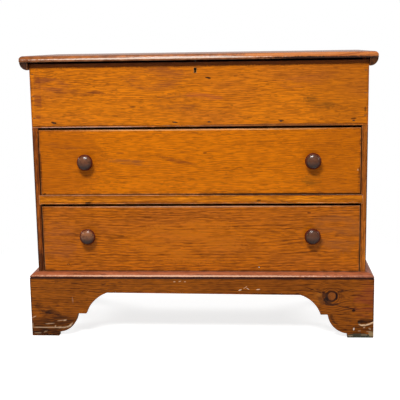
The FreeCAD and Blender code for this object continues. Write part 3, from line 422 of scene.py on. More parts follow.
def pine(name, light, dark, box, grain="x", heart=(0, 60, -120), lean=(0, 0, 0), bow=0.0, year=5.0,
         wander=45, ripple=6.0, broken=0.3, rings=0.6, dashes=0.5, streaks=0.5, fibres=0.5, mottle=0.35,
         dash="4a2208", stain="8a4a22", stains=0.3, dirt="2e1408", dirt_share=0.5, rub="c07a48",
         rub_share=0.4, bare=None, marks=(), knots=(), gloss=0.36, coat=0.12, kicked=False):
    """Pine with rings, fibres, stained patches and worn edges, under an old shiny finish.

    Lengths are in millimetres. The heart is where the tree's middle passes x = 0 once the grain is
    turned to run along x. Lean is how far it moves across for each step along, and bow how much
    further for each metre squared. Broken is how far the winter lines break into dashes. The edges
    of the piece that box names are worn. A mark with a strength below nothing is a soft stain,
    which the grain breaks up. A kicked board reads two numbers from the points of its mesh as well:
    how much grime and how much scuffing lies there.
    """
    material, shader, place = blank(name)
    bent, branches = place, []
    for centre, radius, reach, pull in knots:
        branches.append(use(knot, Position=bent, Centre=in_metres(centre), Across=(1, 0, 1),
                            Radius=radius * MM, Reach=reach * MM, Pull=pull))
        bent = branches[-1]["Bent"]
    turned = add_node("Mapping", Vector=bent, Rotation=TURNS[grain]).outputs[0]
    wood = use(figure, Position=turned, Heart=in_metres(heart), Lean=lean, Bow=(0, bow, 0),
               Year=year * MM, Wander=wander * MM, Ripple=ripple * MM, Broken=broken)
    tone = light
    layers = (("Patch", stain, stains), ("Mottle", dark, mottle), ("Streak", dark, streaks),
              ("Rings", dark, rings), ("Fibre", dark, fibres), ("Dash", dash, dashes))
    for part, code, strength in layers:
        share = wood[part]
        share = ramp(share, *SHOWS[part], 0.0, strength) if part in SHOWS else times(share, strength)
        tone = tint(share, tone, code)
    for branch in branches:
        branch_rings = times(branch["Core"], branch["Rings"])
        for share, strength, code in ((branch["Halo"], 0.75, "401a08"), (branch["Core"], 0.5, "945424"),
                                      (branch_rings, 0.4, "5a2410"), (branch["Rim"], 0.9, "1e0c06")):
            tone = tint(times(share, strength), tone, code)
    low, high = (Vector(corner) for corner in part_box(box))
    wear = use(edges, Position=place, Low=low, High=high, Rub_Width=RUB_WIDTH, Dirt_Width=DIRT_WIDTH)
    tone = tint(times(wear["Dirt"], dirt_share), tone, dirt)
    tone = tint(times(wear["Rub"], rub_share), tone, rub)
    height = wood["Height"]
    for centre, size, turn, code, strength in marks:
        blot = use(mark, Position=place, Centre=in_metres(centre), Size=in_metres(size),
                   Turn=radians(turn), Ragged=MARK_RAGGED)
        share = times(blot["Mask"], abs(strength))
        if strength < 0:
            share = times(share, ramp(wood["Mottle"], 0.36, 0.6), ramp(wood["Fibre"], 0.3, 0.6, 0.5, 1.0))
        else:
            height = maths("SUBTRACT", height, share)
        tone = tint(share, tone, code)
    for attribute, code, least in (("grime", "1e0e08", 0.6), ("scuff", "e0bc94", 0.7)) if kicked else ():
        broken_up = ramp(wood["Fibre"], 0.36, 0.58, least, 1.0)
        tone = tint(times(point_number(attribute), broken_up), tone, code)
    roughness = ramp(wood["Fibre"], 0.3, 0.7, gloss - 0.05, gloss + 0.12)
    weight = ramp(wood["Patch"], 0.3, 0.7, coat, coat * 0.5) if coat else 0.0
    if bare:
        low, high = map(in_metres, bare)
        raw = use(inside, Position=place, Low=low, High=high)["Bare"]
        dull = tint(wood["Rings"], BARE_LIGHT, BARE_DARK)
        dull = tint(ramp(wood["Patch"], 0.4, 0.7, 0.0, 0.6), dull, BARE_STAIN)
        tone = tint(raw, tone, dull)
        roughness = maths("MULTIPLY_ADD", raw, 0.35, roughness)
        weight = times(weight, maths("SUBTRACT", 1.0, raw))
    surface(shader, height, 0.4, 0.7, Base_Color=tone, Roughness=roughness, Coat_Weight=weight,
            Coat_Roughness=SHELLAC_ROUGHNESS, Specular_IOR_Level=SPECULAR)
    return material


def dress(material, *names):
    """Give a material to pieces of the frame."""
    for name in names:
        for slot in nodes[name].material_slots:
            slot.material = material


def board(piece, name, light, dark, **look):
    """Dress one board of the frame in a pine of its own, worn along its own edges."""
    dress(pine(name, light, dark, piece, **look), piece)


def face_marks(y, deep, rows):
    """Marks on a face at y, each reaching so deep.

    A row is the middle in x and z, half the length, half the height, the turn in degrees, the
    colour and the strength.
    """
    return [((x, y, z), (long, deep, tall), *rest) for x, z, long, tall, *rest in rows]


print("pine ready")

# %% [markdown]
# ## Dressing the boards
#
# Each call dresses one board: the amber it has gone, the colour of its winter lines, the way its
# grain runs and where its heart lies. The numbers are in millimetres, as on a drawing.

# %% The front of the well
# The near-black colour below darkens nail holes and dents, and is also painted on the drawers' top edges as
# shade in the gaps above them.
HOLE_AND_GAP_SHADE, CHIP = "1c0c06", "f0d8b8"
upper_front_marks = [
    # A painted highlight along the bead at the lower edge.
    ((-330, -209, 655.6), (190, 3, 1.6), 0, "c8a090", 0.7),
] + face_marks(-209, 9, [
    (-441, 670, 10, 2.8, -12, HOLE_AND_GAP_SHADE, 0.95), (-70, 668, 10, 2.4, -8, HOLE_AND_GAP_SHADE, 0.85),
    (34, 668, 8, 2.0, 0, HOLE_AND_GAP_SHADE, 0.6), (250, 671, 9, 2.4, -5, HOLE_AND_GAP_SHADE, 0.8), (466, 674, 9, 2.6, 4, HOLE_AND_GAP_SHADE, 0.85),
    (33, 800, 9, 3.0, -14, HOLE_AND_GAP_SHADE, 0.95), (-196, 716, 9, 2.0, 0, "4a200a", 0.8),
    # The long dark band at 846.5 is the lid's painted shadow, and the thin dark line at 659.6 is painted
    # shade in the bead's quirk.
    (500, 702, 3, 8, 0, HOLE_AND_GAP_SHADE, 0.7), (0, 846.5, 1500, 12, 0, "6a3416", 0.8),
    (-330, 659.6, 190, 1.1, 0, "3a1206", 0.7), (240, 657.5, 270, 4, 0, "74482e", 0.6),
    (-441, 785, 55, 22, -8, "7a3c24", -0.6), (-375, 759, 90, 11, 4, "602c18", -0.7),
    (-330, 768, 60, 7, -14, "6a3018", -0.6), (-120, 800, 95, 36, 5, "98501e", -0.65),
    (-60, 728, 80, 26, 0, "80441a", -0.6), (20, 745, 60, 10, -6, "b05828", -0.6),
    (375, 728, 55, 24, 0, "5a3c10", -0.75), (330, 790, 90, 20, 8, "a85820", -0.6),
    (-487, 745, 12, 90, 0, "7a3a1c", -0.7), (440, 750, 120, 110, 0, "98500c", 0.28),
])
board("upper_front", "upper_front_pine", "e27e0c", "6a2c02", heart=(0, -160, 1180), lean=(0, -0.03, 0.02),
      year=5.2, ripple=7, broken=0.8, rings=0.75, dashes=0.42, fibres=0.35, streaks=0.1, mottle=0.06,
      stain="b0602c", marks=upper_front_marks, rub="d09068", bare=((-491.5, -208, 600), (491.5, 0, 840)))
print("well front dressed")

# %% The drawer fronts
upper_drawer_marks = [
    # Painted shade on the top edge, in the gap under the well front, and a painted highlight along the top
    # arris.
    ((0, -188, 648.8), (1500, 22, 3), 0, HOLE_AND_GAP_SHADE, 0.95), ((0, -209, 644.6), (440, 3, 1.3), 0, "ffc080", 0.7),
] + face_marks(-209, 9, [
    # The long thin dark line at 448 is painted shade, in the gap above the divider.
    (260, 448, 300, 1.8, 0, "200a04", 0.85), (20, 574, 7, 3, 6, "7a3c08", 0.7),
    (-240, 575, 12, 3, 0, "8c4810", 0.6), (-185, 545, 95, 9, -5, "8c5026", -0.7),
    (-60, 548, 70, 7, -14, "8a4410", -0.8), (-420, 600, 60, 10, -6, "8c4c1c", -0.7),
    (345, 490, 30, 18, 0, "7a5010", -0.6), (487, 590, 2.6, 26, 0, "2a1006", -1.0),
    (485, 500, 3.2, 34, 0, "2a1006", -1.0), (481, 520, 1.6, 3, 0, "f0c898", 0.8),
    (-487, 520, 2.8, 60, 0, "3a1a08", -1.0), (-480, 449, 6, 3, 20, HOLE_AND_GAP_SHADE, 0.8),
    # The two broad marks here make the drawer darker towards both ends.
    (-440, 560, 150, 130, 0, "96480a", 0.33), (450, 540, 150, 130, 0, "9a4c08", 0.3),
])
board("upper_drawer_front", "upper_drawer_pine", "e07a02", "7c3800", heart=(0, -120, 160),
      lean=(0, 0, 0.05), ripple=8, broken=0.6, dashes=0.35, fibres=0.35, streaks=0.12, mottle=0.05,
      stain="c86a14", stains=0.2, marks=upper_drawer_marks, bare=((-488, -207.5, 400), (488, 0, 645)),
      rub="d8a070")
lower_drawer_marks = [
    # Painted shade on the top edge, in the gap under the divider, and a painted highlight along the top
    # arris.
    ((0, -188, 411), (1500, 19.2, 3), 0, HOLE_AND_GAP_SHADE, 0.95), ((0, -209, 407.6), (440, 3, 1.2), 0, "f0b080", 0.6),
] + face_marks(-209, 9, [
    # The long thin dark line at 204.6 is painted shade along the lower edge, above the moulding.
    (0, 204.6, 800, 1.6, 0, "30100a", 0.7), (-30, 300, 170, 70, 0, "cc7010", -0.7),
    (-414, 226, 4, 3, 0, HOLE_AND_GAP_SHADE, 0.7), (-414, 226, 1.8, 1.4, 0, "c87830", 0.9),
    (183, 217, 4, 4, 0, HOLE_AND_GAP_SHADE, 0.8), (183, 217, 1.8, 1.8, 0, CHIP, 1.0),
    (-130, 318, 10, 7, 0, "7a3c18", -0.9), (-440, 300, 60, 60, 0, "9a5428", -0.5),
    (420, 330, 80, 70, 0, "9c5a2a", -0.5), (335, 388, 7, 2.5, 0, "5c2a10", 0.8),
])
board("lower_drawer_front", "lower_drawer_pine", "d27008", "4e2002", heart=(0, -207.7, 318),
      lean=(0, 0.012, 0), bow=0.058, year=9.0, wander=34, ripple=15, broken=0.45, rings=0.85, dashes=0.3,
      fibres=0.4, streaks=0.08, mottle=0.06, stain="b0602a", marks=lower_drawer_marks,
      bare=((-488, -207.5, 150), (488, 0, 407.5)), rub="d8a070")
print("drawer fronts dressed")

# %% The case
divider_marks = face_marks(-209, 9, [
    (-344, 421, 9, 4, 8, HOLE_AND_GAP_SHADE, 0.7), (183, 427, 8, 3, 8, HOLE_AND_GAP_SHADE, 0.7),
    # Painted shade along the top edge, in the gap under the upper drawer.
    (270, 444.6, 320, 1.8, 0, "200a04", 0.85),
])
board("drawer_divider", "divider_pine", "f08c10", "8a4408", dirt_share=0.3, heart=(0, 20, 380), year=4,
      rub="d89a78", rub_share=0.6, marks=divider_marks, bare=((-480, -206, 400), (480, 0, 444)))
# On each side the dark line along the stile's inner edge, at 492 and 491.5, is painted shade in the gap
# beside the drawers.
SIDE_LOOKS = {
    "left": ("c0661c", "5e2a0a", [
        (-500, 430, 14, 260, 0, "5a2a14", -0.8), (-508, 430, 2, 260, 0, "2a1208", 0.8),
        (-492, 430, 2.0, 230, 0, "2c0a04", 0.85), (-501, 225, 11, 45, 0, "2a1008", 0.65)]),
    "right": ("ec8c2c", "8a4410", [
        (508, 430, 2, 260, 0, "2a1208", 0.8), (491.5, 430, 1.8, 260, 0, "3a1006", 0.8)]),
}
for side, sign in SIDES:
    light, dark, marks = SIDE_LOOKS[side]
    near, far = sorted((sign * 492.5, -sign * 400))
    board(f"side_{side}", f"side_{side}_pine", light, dark, grain="z", heart=(0, 120, sign * 430),
          lean=(0, 0.02, 0), year=6, ripple=7, rub="c88a68", dirt_share=0.3,
          marks=face_marks(-209, 5, marks), bare=((near, -206, 100), (far, 300, 846)))
print("case dressed")

# %% The base and its moulding
base_front_marks = [
    # Painted shade along the top edge, under the moulding's nose.
    ((0, -234, 187), (1500, 9, 2.6), 0, "2c0e06", 0.9),
] + face_marks(-233, 9, [
    (-79, 177, 4, 1.5, 0, "d8b080", 0.8), (-62, 178, 5, 1.3, 20, "d8b080", 0.8),
    (-46, 177, 3, 1.6, 0, "d8b080", 0.7), (124, 151, 5, 1.5, 20, CHIP, 0.9),
    (140, 159, 7, 1.3, 35, "d8a878", 0.8), (148, 155, 5, 1.2, -30, CHIP, 0.8),
    (180, 153, 6, 1.4, 8, CHIP, 0.9), (472, 87, 5.5, 4, 0, HOLE_AND_GAP_SHADE, 0.95),
    (473, 28, 2.2, 4.5, -14, "fff4e4", 1.0), (-385, 172, 22, 3.4, 0, "3a1c0a", -1.0),
    (315, 168, 26, 3.5, 0, "3a1c0c", -0.9), (-300, 168, 9, 2.4, 20, "2a1208", -1.0),
    (383, 122, 20, 20, 20, "40281c", 0.4), (387, 121, 9, 8, 30, "1c1412", 0.8),
    (394, 109, 11, 6, -10, "241612", 0.7), (412, 106, 14, 4, 10, "2a1812", 0.7),
    (362, 130, 24, 20, -40, "b46a20", -0.7), (419, 131, 3, 12, 0, "180a06", 0.85),
    (380, 136, 5, 9, 0, "3a1a0e", 0.6), (372, 148, 16, 5, -20, "2a140c", -1.0),
    (428, 146, 14, 4, 24, "2a140c", -1.0), (450, 150, 40, 2.0, 12, "2e140a", -1.0),
    (352, 150, 30, 2.0, -22, "2e140a", -1.0), (490, 100, 34, 2.0, 16, "2e140a", -1.0),
    (455, 96, 36, 1.8, -10, "2e140a", -1.0), (505, 120, 34, 60, 0, "8a3a22", -0.6),
    (420, 60, 46, 5, -8, "2e160e", -0.8), (-480, 85, 46, 14, -22, "2e160a", -0.9),
    (490, 5, 46, 9.5, 0, "3c4034", 0.95), (526, 13, 8, 10, 0, "a89068", 0.8),
])
BASE = dict(year=6.5, ripple=10, broken=0.45, rings=0.95, fibres=0.4, streaks=0.1, mottle=0.15,
            stain="6a3410", stains=0.35, rub="b07040", dirt_share=0.35)
base_pine = pine("base_front_pine", "ac5c0c", "3c1602", "base_front", heart=(0, -225, 130),
                 lean=(0, 0.03, 0), marks=base_front_marks, knots=[((404, -233, 132), 15, 62, 0.75)],
                 bare=((-600, -224, -10), (600, 0, 187.5)), kicked=True, **BASE)
base_end_pine = {}
# Each moulding gets painted shade along its foot, under its nose, and the front one also a painted
# highlight along the nose.
MOULDINGS = {"front": ("x", 0.4, [((0, -228, 189.6), (1500, 9, 2.2), 0, "2c0e06", 0.95),
                                  ((-60, -234, 195), (560, 6, 2.4), 0, "f8c8a4", 0.6)])}
for side, sign in SIDES:
    near, far = sorted((-sign * 600, sign * 524))
    base_end_pine[side] = pine(
        f"base_{side}_pine", "a0540a", "481e06", f"base_{side}", grain="y", heart=(0, sign * 480, 40),
        bare=((near, -300, -10), (far, 300, 187.5)), **BASE)
    # The side mouldings are also painted darker over their face, as shade.
    MOULDINGS[side] = ("y", 0.1, [((sign * 528, 0, 189.6), (9, 1500, 2.2), 0, "2c0e06", 0.95),
                                  ((sign * 526, 0, 198), (16, 1500, 12), 0, "5a2c1a", 0.5)])
for side, (grain, coat, marks) in MOULDINGS.items():
    board(f"base_moulding_{side}", f"moulding_{side}_pine", "b86a44", "803c1c", grain=grain,
          heart=(0, 0, 150), marks=marks, year=4, gloss=0.3, coat=coat, rub="d8a080", rub_share=0.5,
          fibres=0.3, dashes=0.6)
print("base dressed")

# %% The lid
LID_MARKS = [
    # A painted highlight along the nose, a lighter orange on the nose's right part, and painted shade along
    # the lower edge at the right.
    ((-126, -234, 861), (400, 6, 2.4), 0, "f8e4d0", 0.75),
    ((330, -232, 866), (220, 9, 8), 0, "d8803c", 0.6),
    ((420, -232, 855), (240, 9, 4.6), -0.7, "200a04", 0.95),
    ((440, -234, 864), (60, 9, 2.0), 6, "8a3c14", 0.6),
]
board("lid_board", "lid_board_pine", "b86a30", "743c18", heart=(0, 0, 700), year=7, ripple=8, stains=0.5,
      gloss=0.26, coat=0.8, rub="d8a880", marks=LID_MARKS, bare=((-508, -232, 853), (508, 300, 855.2)))
for side, sign, light, dark in (("left", -1, "4a2a1a", "1e100a"), ("right", 1, "6a4020", "2a160a")):
    board(f"lid_cleat_{side}", f"cleat_{side}_pine", light, dark, grain="y", heart=(0, sign * 500, 780),
          gloss=0.3, coat=0.4)
print("lid dressed")

# %% [markdown]
# ## Bare boards
#
# The boards that never show were planed on one side and left. Pine darkens by itself, to tan inside
# a drawer and to grey brown on the back, where smoke and damp reach it. The same material makes
# both, with no coat and a rough surface.

# %% Backs, bottoms and drawer insides
INSIDE = dict(rings=0.55, stain="6b4a2c", stains=0.4, dirt="3a2414", gloss=0.7, coat=0.0, rub="b08a5c",
              rub_share=0.3)
BACKS = dict(rings=0.7, stain="453427", stains=0.6, dirt="241a12", gloss=0.75, coat=0.0, rub="8a7358",
             rub_share=0.3)
bare_boards = [
    ("well_floor", "x", "ac8350", "845c34"), ("case_bottom", "x", "9c7446", "74502e"),
    ("runner_left", "y", "a67a48", "7c5430"), ("runner_right", "y", "a2764a", "7a5232"),
    ("drawer_stops", "x", "a07648", "765030"), ("back_board_upper", "x", "80603e", "5c4028"),
    ("back_board_middle", "x", "866646", "60442c"), ("back_board_lower", "x", "7a5a3c", "563c26"),
    ("rear_bracket_left", "x", "765436", "523620"), ("rear_bracket_right", "x", "7c583a", "543824"),
]
DRAWER_PARTS = [("side_left", "y", "b48a56", "8c6238"), ("side_right", "y", "b0864e", "886036"),
                ("back", "x", "aa804c", "805a34"), ("bottom", "x", "a67c4a", "7c5632")]
for drawer in ("upper_drawer", "lower_drawer"):
    bare_boards += [(f"{drawer}_{part}", *rest) for part, *rest in DRAWER_PARTS]
for corner in ("front_left", "front_right", "rear_left", "rear_right"):
    bare_boards.append((f"foot_block_{corner}", "z", "7c5836", "563a22"))
for index, (name, grain, light, dark) in enumerate(bare_boards):
    look = BACKS if name.startswith(("back", "rear", "foot")) else INSIDE
    low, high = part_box(name)
    middle = [(low[axis] + high[axis]) / 2 / MM for axis in SWAP[grain]]
    heart = (0, middle[1] + 60 + 17 * (index % 5), middle[2] - 90 + 31 * (index % 7))
    board(name, f"{name}_bare", light, dark, grain=grain, heart=heart, year=4 + index % 3, **look)
print(f"{len(bare_boards)} bare pieces dressed")

# %% [markdown]
# ## Iron, brass and turned wood
#
# The nails and hinges are iron that has rusted under its grime, and the keyhole is lined with brass
# that nobody has polished. Metal is where the reflections come from, so a metal that has rusted
# loses its metallic look in patches: the same mask drives the colour, the roughness and the
# metallic value.

# %% The metals
RUST_LUMPS = 220.0
# Where the keyhole goes into the lock, the iron is painted black, as shade.
LOCK_KEYHOLE_SHADE = ((-5.6, -190, 826), (6, 30, 11))


def old_metal(name, clean, crust, crusted, gloss=0.4, hollow=None):
    """Metal under a crust of rust or tarnish that lies in patches, and painted black, as shade, where a
    hollow goes in.
    """
    material, shader, place = blank(name)
    lump = noise(place, RUST_LUMPS, 5.0)
    cover = ramp(lump, 0.62 - crusted * 0.4, 0.72 - crusted * 0.3)
    speckle = ramp(noise(place, RUST_LUMPS * 4, 3.0), 0.3, 0.7)
    tone = tint(cover, clean, tint(speckle, crust, "1a100a"))
    if hollow:
        centre, size = map(in_metres, hollow)
        dark = use(mark, Position=place, Centre=centre, Size=size)["Mask"]
        tone = tint(dark, tone, "080504")
        cover = maths("MAXIMUM", cover, dark)
    surface(shader, lump, 0.5, 0.5, Base_Color=tone, Metallic=ramp(cover, 0.0, 1.0, 1.0, 0.1),
            Roughness=ramp(cover, 0.0, 1.0, gloss, 0.85))
    return material


dress(old_metal("nail_iron_rusted", "3a2a1e", "50301a", 0.9),
      "floor_nails", "back_nails", "base_front_nails", "base_side_nails", "cleat_nails")
dress(old_metal("nail_heads_filled", "8a4a14", "b0641a", 1.0), "front_board_nails")
dress(old_metal("hinge_iron_dark", "4a4642", "3c2416", 0.5),
      "hinge_case_leaf_left", "hinge_case_leaf_right", "hinge_lid_leaf_left", "hinge_lid_leaf_right",
      "hinge_pins", "hinge_case_screws", "lid_screws")
dress(old_metal("lock_iron_worn", "6a6662", "40281a", 0.4, gloss=0.35, hollow=LOCK_KEYHOLE_SHADE),
      "lock_case", "lock_cap", "lock_screws", "lock_bolt", "lid_strike")
dress(old_metal("brass_dull", "c09a60", "6a4a28", 0.3, gloss=0.3), "keyhole_escutcheon")
print("metals dressed")

# %% The knob wood
GROOVE, KNOB_COAT_ROUGHNESS = 0.75, 0.19
knob_wood, shader, place = blank("knob_wood_dark")
wood = use(figure, Position=place, Year=1.6 * MM, Wander=45 * MM, Ripple=4 * MM)
share, faded, grime = (point_number(name) for name in ("share", "faded", "grime"))
from_groove = maths("ABSOLUTE", maths("SUBTRACT", share, GROOVE))
patchy = ramp(noise(place, 120.0, 3.0), 0.3, 0.55, 0.3, 1.0)
tone = tint(times(wood["Rings"], 0.5), "42200f", "1e0a05")
for laid, code in (
    (ramp(noise(place, 150.0, 4.0), 0.42, 0.66, 0.0, 0.5), "58381c"),
    (ramp(noise(place, 110.0, 2.0), 0.5, 0.7, 0.0, 0.5), "4c2014"),
    (ramp(share, 0.6, 0.3, 0.0, 0.3), "6a3a20"),
    (ramp(from_groove, 0.05, 0.01, 0.0, 0.9), "140605"),
    # The top is painted paler, partly as wear and partly as light from above, and the bottom is painted
    # darker, as shade.
    (times(faded, patchy), "a0643c"),
    (ramp(grime, 0.0, 0.8, 0.0, 0.75), "1c0a06"),
    (ramp(share, 0.78, 0.9, 0.0, 0.9), "541808"),
):
    tone = tint(laid, tone, code)
surface(shader, wood["Height"], 0.3, 0.4, Base_Color=tone,
        Roughness=ramp(wood["Fibre"], 0.3, 0.7, 0.3, 0.45), Specular_IOR_Level=SPECULAR,
        Coat_Weight=ramp(share, 0.74, 0.9, 0.9, 0.04), Coat_Roughness=KNOB_COAT_ROUGHNESS)
print("knob wood ready")

# %% [markdown]
# ## Meshes as whole arrays
#
# A shape worked out in numpy is a table of points and a table of faces. Blender can take either in
# one call, so no loop over points is needed. Faces have to point outwards, and the volume they
# enclose tells: it comes out negative when they point in.

# %% Put a table of points and faces into a piece
SHARP = 40


def new_piece(name, points, faces, material, body, slot, replaced, **numbers):
    """A closed piece from points in millimetres, which stands for a piece of the frame.

    Further arrays hold a number for each point, which a material can read as an attribute by name.
    """
    first, second, third, fourth = (points[faces] * MM).transpose(1, 0, 2)
    halves = ((second, third), (third, fourth))
    volume = sum(np.einsum("ij,ij->", first, np.cross(*half)) for half in halves) / 6
    if volume < 0:
        faces = faces[:, ::-1]
    mesh = bpy.data.meshes.new(name)
    mesh.from_pydata((points * MM).tolist(), [], [list(dict.fromkeys(face)) for face in faces.tolist()])
    mesh.polygons.foreach_set("use_smooth", np.ones(len(mesh.polygons), dtype=bool))
    mesh.set_sharp_from_angle(angle=radians(SHARP))
    for attribute, values in numbers.items():
        mesh.attributes.new(attribute, "FLOAT", "POINT").data.foreach_set("value", values)
    mesh.materials.append(material)
    piece = placed(name, mesh)
    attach(piece, body)
    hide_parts(replaced)
    print(f"{name}: {len(mesh.polygons)} faces, {abs(volume) * 1e6:.1f} cubic centimetres")


def quads(numbers):
    """The four-cornered faces between the points of a numbered grid."""
    corners = (numbers[:-1, :-1], numbers[1:, :-1], numbers[1:, 1:], numbers[:-1, 1:])
    return np.stack(corners, axis=-1).reshape(-1, 4)


def only_used(points, faces):
    """Leave out the points that no face uses: as (points, faces renumbered, which points were kept)."""
    kept, renumbered = np.unique(faces, return_inverse=True)
    return points.reshape(-1, 3)[kept], renumbered.reshape(-1, 4), kept


print("mesh helpers ready")

# %% [markdown]
# ## Turned knobs
#
# The knobs were turned on a lathe: a tenon through the drawer front, a collar, a narrow neck, a
# rounded rim and a disc with a crown. A lathe shape is one outline carried round an axis. The Screw
# modifier would do it, but an outline in numpy can also be worn out of round, as old boxwood is.

# %% The knobs
DRAWER_FACE = -208.75
KNOB_SIDES, KNOB_RADIUS, KNOB_WEAR = 72, 25, 0.012
HEAD_FROM, NOT_HEAD = 22, 1.2
# How far below the middle the paler, painted-lit top reaches, as a share of the radius.
PALE_REACH_BELOW_MIDDLE = 0.55


def bow(start, end, radius, count):
    """Points on the arc of a radius from start to end, which stands off its chord to the left of the way.

    A negative radius stands off to the right. The arc is the chord plus a rise at each point: the
    root of radius squared less the distance from the middle squared, less that root at the ends.
    """
    start, end = np.array(start, float), np.array(end, float)
    chord = end - start
    length = np.hypot(*chord)
    across = np.array([-chord[1], chord[0]]) / length * np.sign(radius)
    share = np.linspace(0, 1, count)[:, None]
    rise = np.sqrt(radius ** 2 - ((share - 0.5) * length) ** 2) - np.sqrt(radius ** 2 - (length / 2) ** 2)
    return start + share * chord + rise * across


def turned(outline, place):
    """An outline of (distance out, radius) carried round an axis that points out of the drawer.

    The radius is stretched one way and shrunk the other by the wear, which makes it out of round.
    The third result is the share of the full radius at each point of the head.
    """
    out, radius = outline[:, 0, None], outline[:, 1, None]
    angle = np.linspace(0, 2 * pi, KNOB_SIDES, endpoint=False)[None, :]
    worn = radius * (1 - KNOB_WEAR * (1 + np.cos(2 * angle + place[0])) / 2)
    grid = np.stack([place[0] + worn * np.cos(angle), DRAWER_FACE - out + 0 * angle,
                     place[1] + worn * np.sin(angle)], axis=-1)
    row, side = np.meshgrid(np.arange(len(outline)), np.arange(KNOB_SIDES + 1), indexing="ij")
    pole = (row == 0) | (row == len(outline) - 1)
    numbers = row * KNOB_SIDES + np.where(pole, 0, side % KNOB_SIDES)
    points, faces, kept = only_used(grid, quads(numbers)[:, [0, 3, 2, 1]])
    shares = np.where(out > HEAD_FROM, radius / radius.max(), NOT_HEAD) + 0 * angle
    return points, faces, shares.reshape(-1)[kept]


knob_outline = np.concatenate([
    [(-20, 0), (-20, 7.4), (-19.4, 8), (0.02, 8), (0.02, 13.6), (0.5, 14), (2.6, 14)],
    bow((3, 13.7), (11, 10.5), -11, 10), bow((11.2, 10.5), (20, 23.36), -14.7, 14),
    bow((20.3, 23.6), (25, 23.6), 2.8, 10), bow((25.2, 23.2), (29.6, 19.6), 8, 10),
    [(29.4, 19.1), (29.3, 18.8), (29.4, 18.5), (30.2, 18.3)], bow((30.5, 17.9), (35, 0), 37.85, 16),
])
KNOBS = [  # drawer, side, x, height, how pale its top is, worn and painted as lit
    ("upper", "left", -345.5, 549.5, 0.35), ("upper", "right", 345.5, 549.5, 0.2),
    ("lower", "left", -345.5, 318.6, 0.8), ("lower", "right", 345.5, 318.6, 0.15),
]
for drawer, side, x, height, worn_and_lit in KNOBS:
    points, faces, shares = turned(knob_outline, (x, height))
    rise = (points[:, 2] - height) / KNOB_RADIUS
    # The top of each knob is painted paler, partly worn and partly as painted light, and the bottom darker,
    # as painted shade.
    faded, grime = worn_and_lit * np.clip(PALE_REACH_BELOW_MIDDLE + rise, 0, 1), np.clip(-rise, 0, 1)
    name = f"{drawer}_drawer_knob_{side}"
    new_piece(f"{name}_turned", points, faces, knob_wood, f"{drawer}_drawer", "knob_wood", name,
              share=shares, faded=faded, grime=grime)

# %% [markdown]
# ## Battered base boards
#
# The base boards are sawn to a bracket outline: a pad, a bulge, a step and a cove at each foot. They
# have also been kicked for two centuries, and one foot has lost a splinter. A board like this can be
# cut from a block with booleans, but dents need points to move. So each is a block of columns that
# stand on the sawn outline, as fine as its dents, and its arrises are rounded by drawing the outline
# in near the two faces.

# %% The bracket outline
BASE_FRONT, BASE_BACK, BASE_END, CASE_FRONT, CASE_END = -233.25, 236.75, 533, -209.25, 509
FILLING = 0.3  # what the worn boards stand proud of the frame's, before they are battered
PAD, KNEE = 13, 73
COARSE, CREEP = 8.0, 1e-4


def foot_curve(toe, bulge, bulge_radius, step, cove, cove_radius, apron, fine):
    """A foot's lower edge as (distance in from the board's end, height), from its end to the apron."""
    def flat(start, end, height):
        steps = np.arange(start, end, fine)
        return np.stack([steps, np.full(len(steps), height)], axis=1)

    return np.concatenate([
        flat(0, toe - 0.3, 0), [(toe - 0.2, 0)],
        bow((toe, PAD), (toe + bulge, KNEE), -bulge_radius, int(bulge / fine)),
        flat(toe + bulge + fine, toe + bulge + step, KNEE),
        bow((toe + bulge + step, KNEE), (toe + bulge + step + cove, apron), cove_radius, int(cove / fine)),
    ])


def bracket_edge(near, far, start, end):
    """Two feet and the apron between them, as (position, height) from start to end."""
    left = np.stack([start + near[:, 0], near[:, 1]], axis=1)
    right = np.stack([end - far[::-1, 0], far[::-1, 1]], axis=1)
    share = np.linspace(0, 1, int((right[0, 0] - left[-1, 0]) / COARSE) + 1)[1:-1, None]
    edge = np.concatenate([left, left[-1] + share * (right[0] - left[-1]), right])
    edge[:, 0] = np.maximum.accumulate(edge[:, 0] + np.arange(len(edge)) * CREEP)
    return edge


left_foot = foot_curve(toe=86, bulge=61.5, bulge_radius=63, step=27.5, cove=67.6, cove_radius=112,
                       apron=140.6, fine=2.0)
right_foot = foot_curve(toe=79.5, bulge=60.7, bulge_radius=67, step=21.8, cove=62, cove_radius=97,
                        apron=135.4, fine=1.5)
side_foot = foot_curve(toe=64, bulge=48, bulge_radius=60, step=16, cove=50, cove_radius=75, apron=138,
                       fine=2.0)
front_edge = bracket_edge(left_foot, right_foot, -BASE_END - FILLING, BASE_END + FILLING)
side_edge = bracket_edge(side_foot, side_foot, BASE_FRONT - FILLING, BASE_BACK)
print(f"{len(front_edge)} columns in front, {len(side_edge)} at each side")

# %% A block of columns
ARRIS, BASE_TOP, MITRE_ZONE = 1.2, 188, 60
# How far up a column each row stands: they crowd between 0.16 and 0.36, where the scuffs are.
rows = np.interp(np.linspace(0, 1, 72), [0, 0.16, 0.68, 1], [0, 0.16, 0.36, 1])


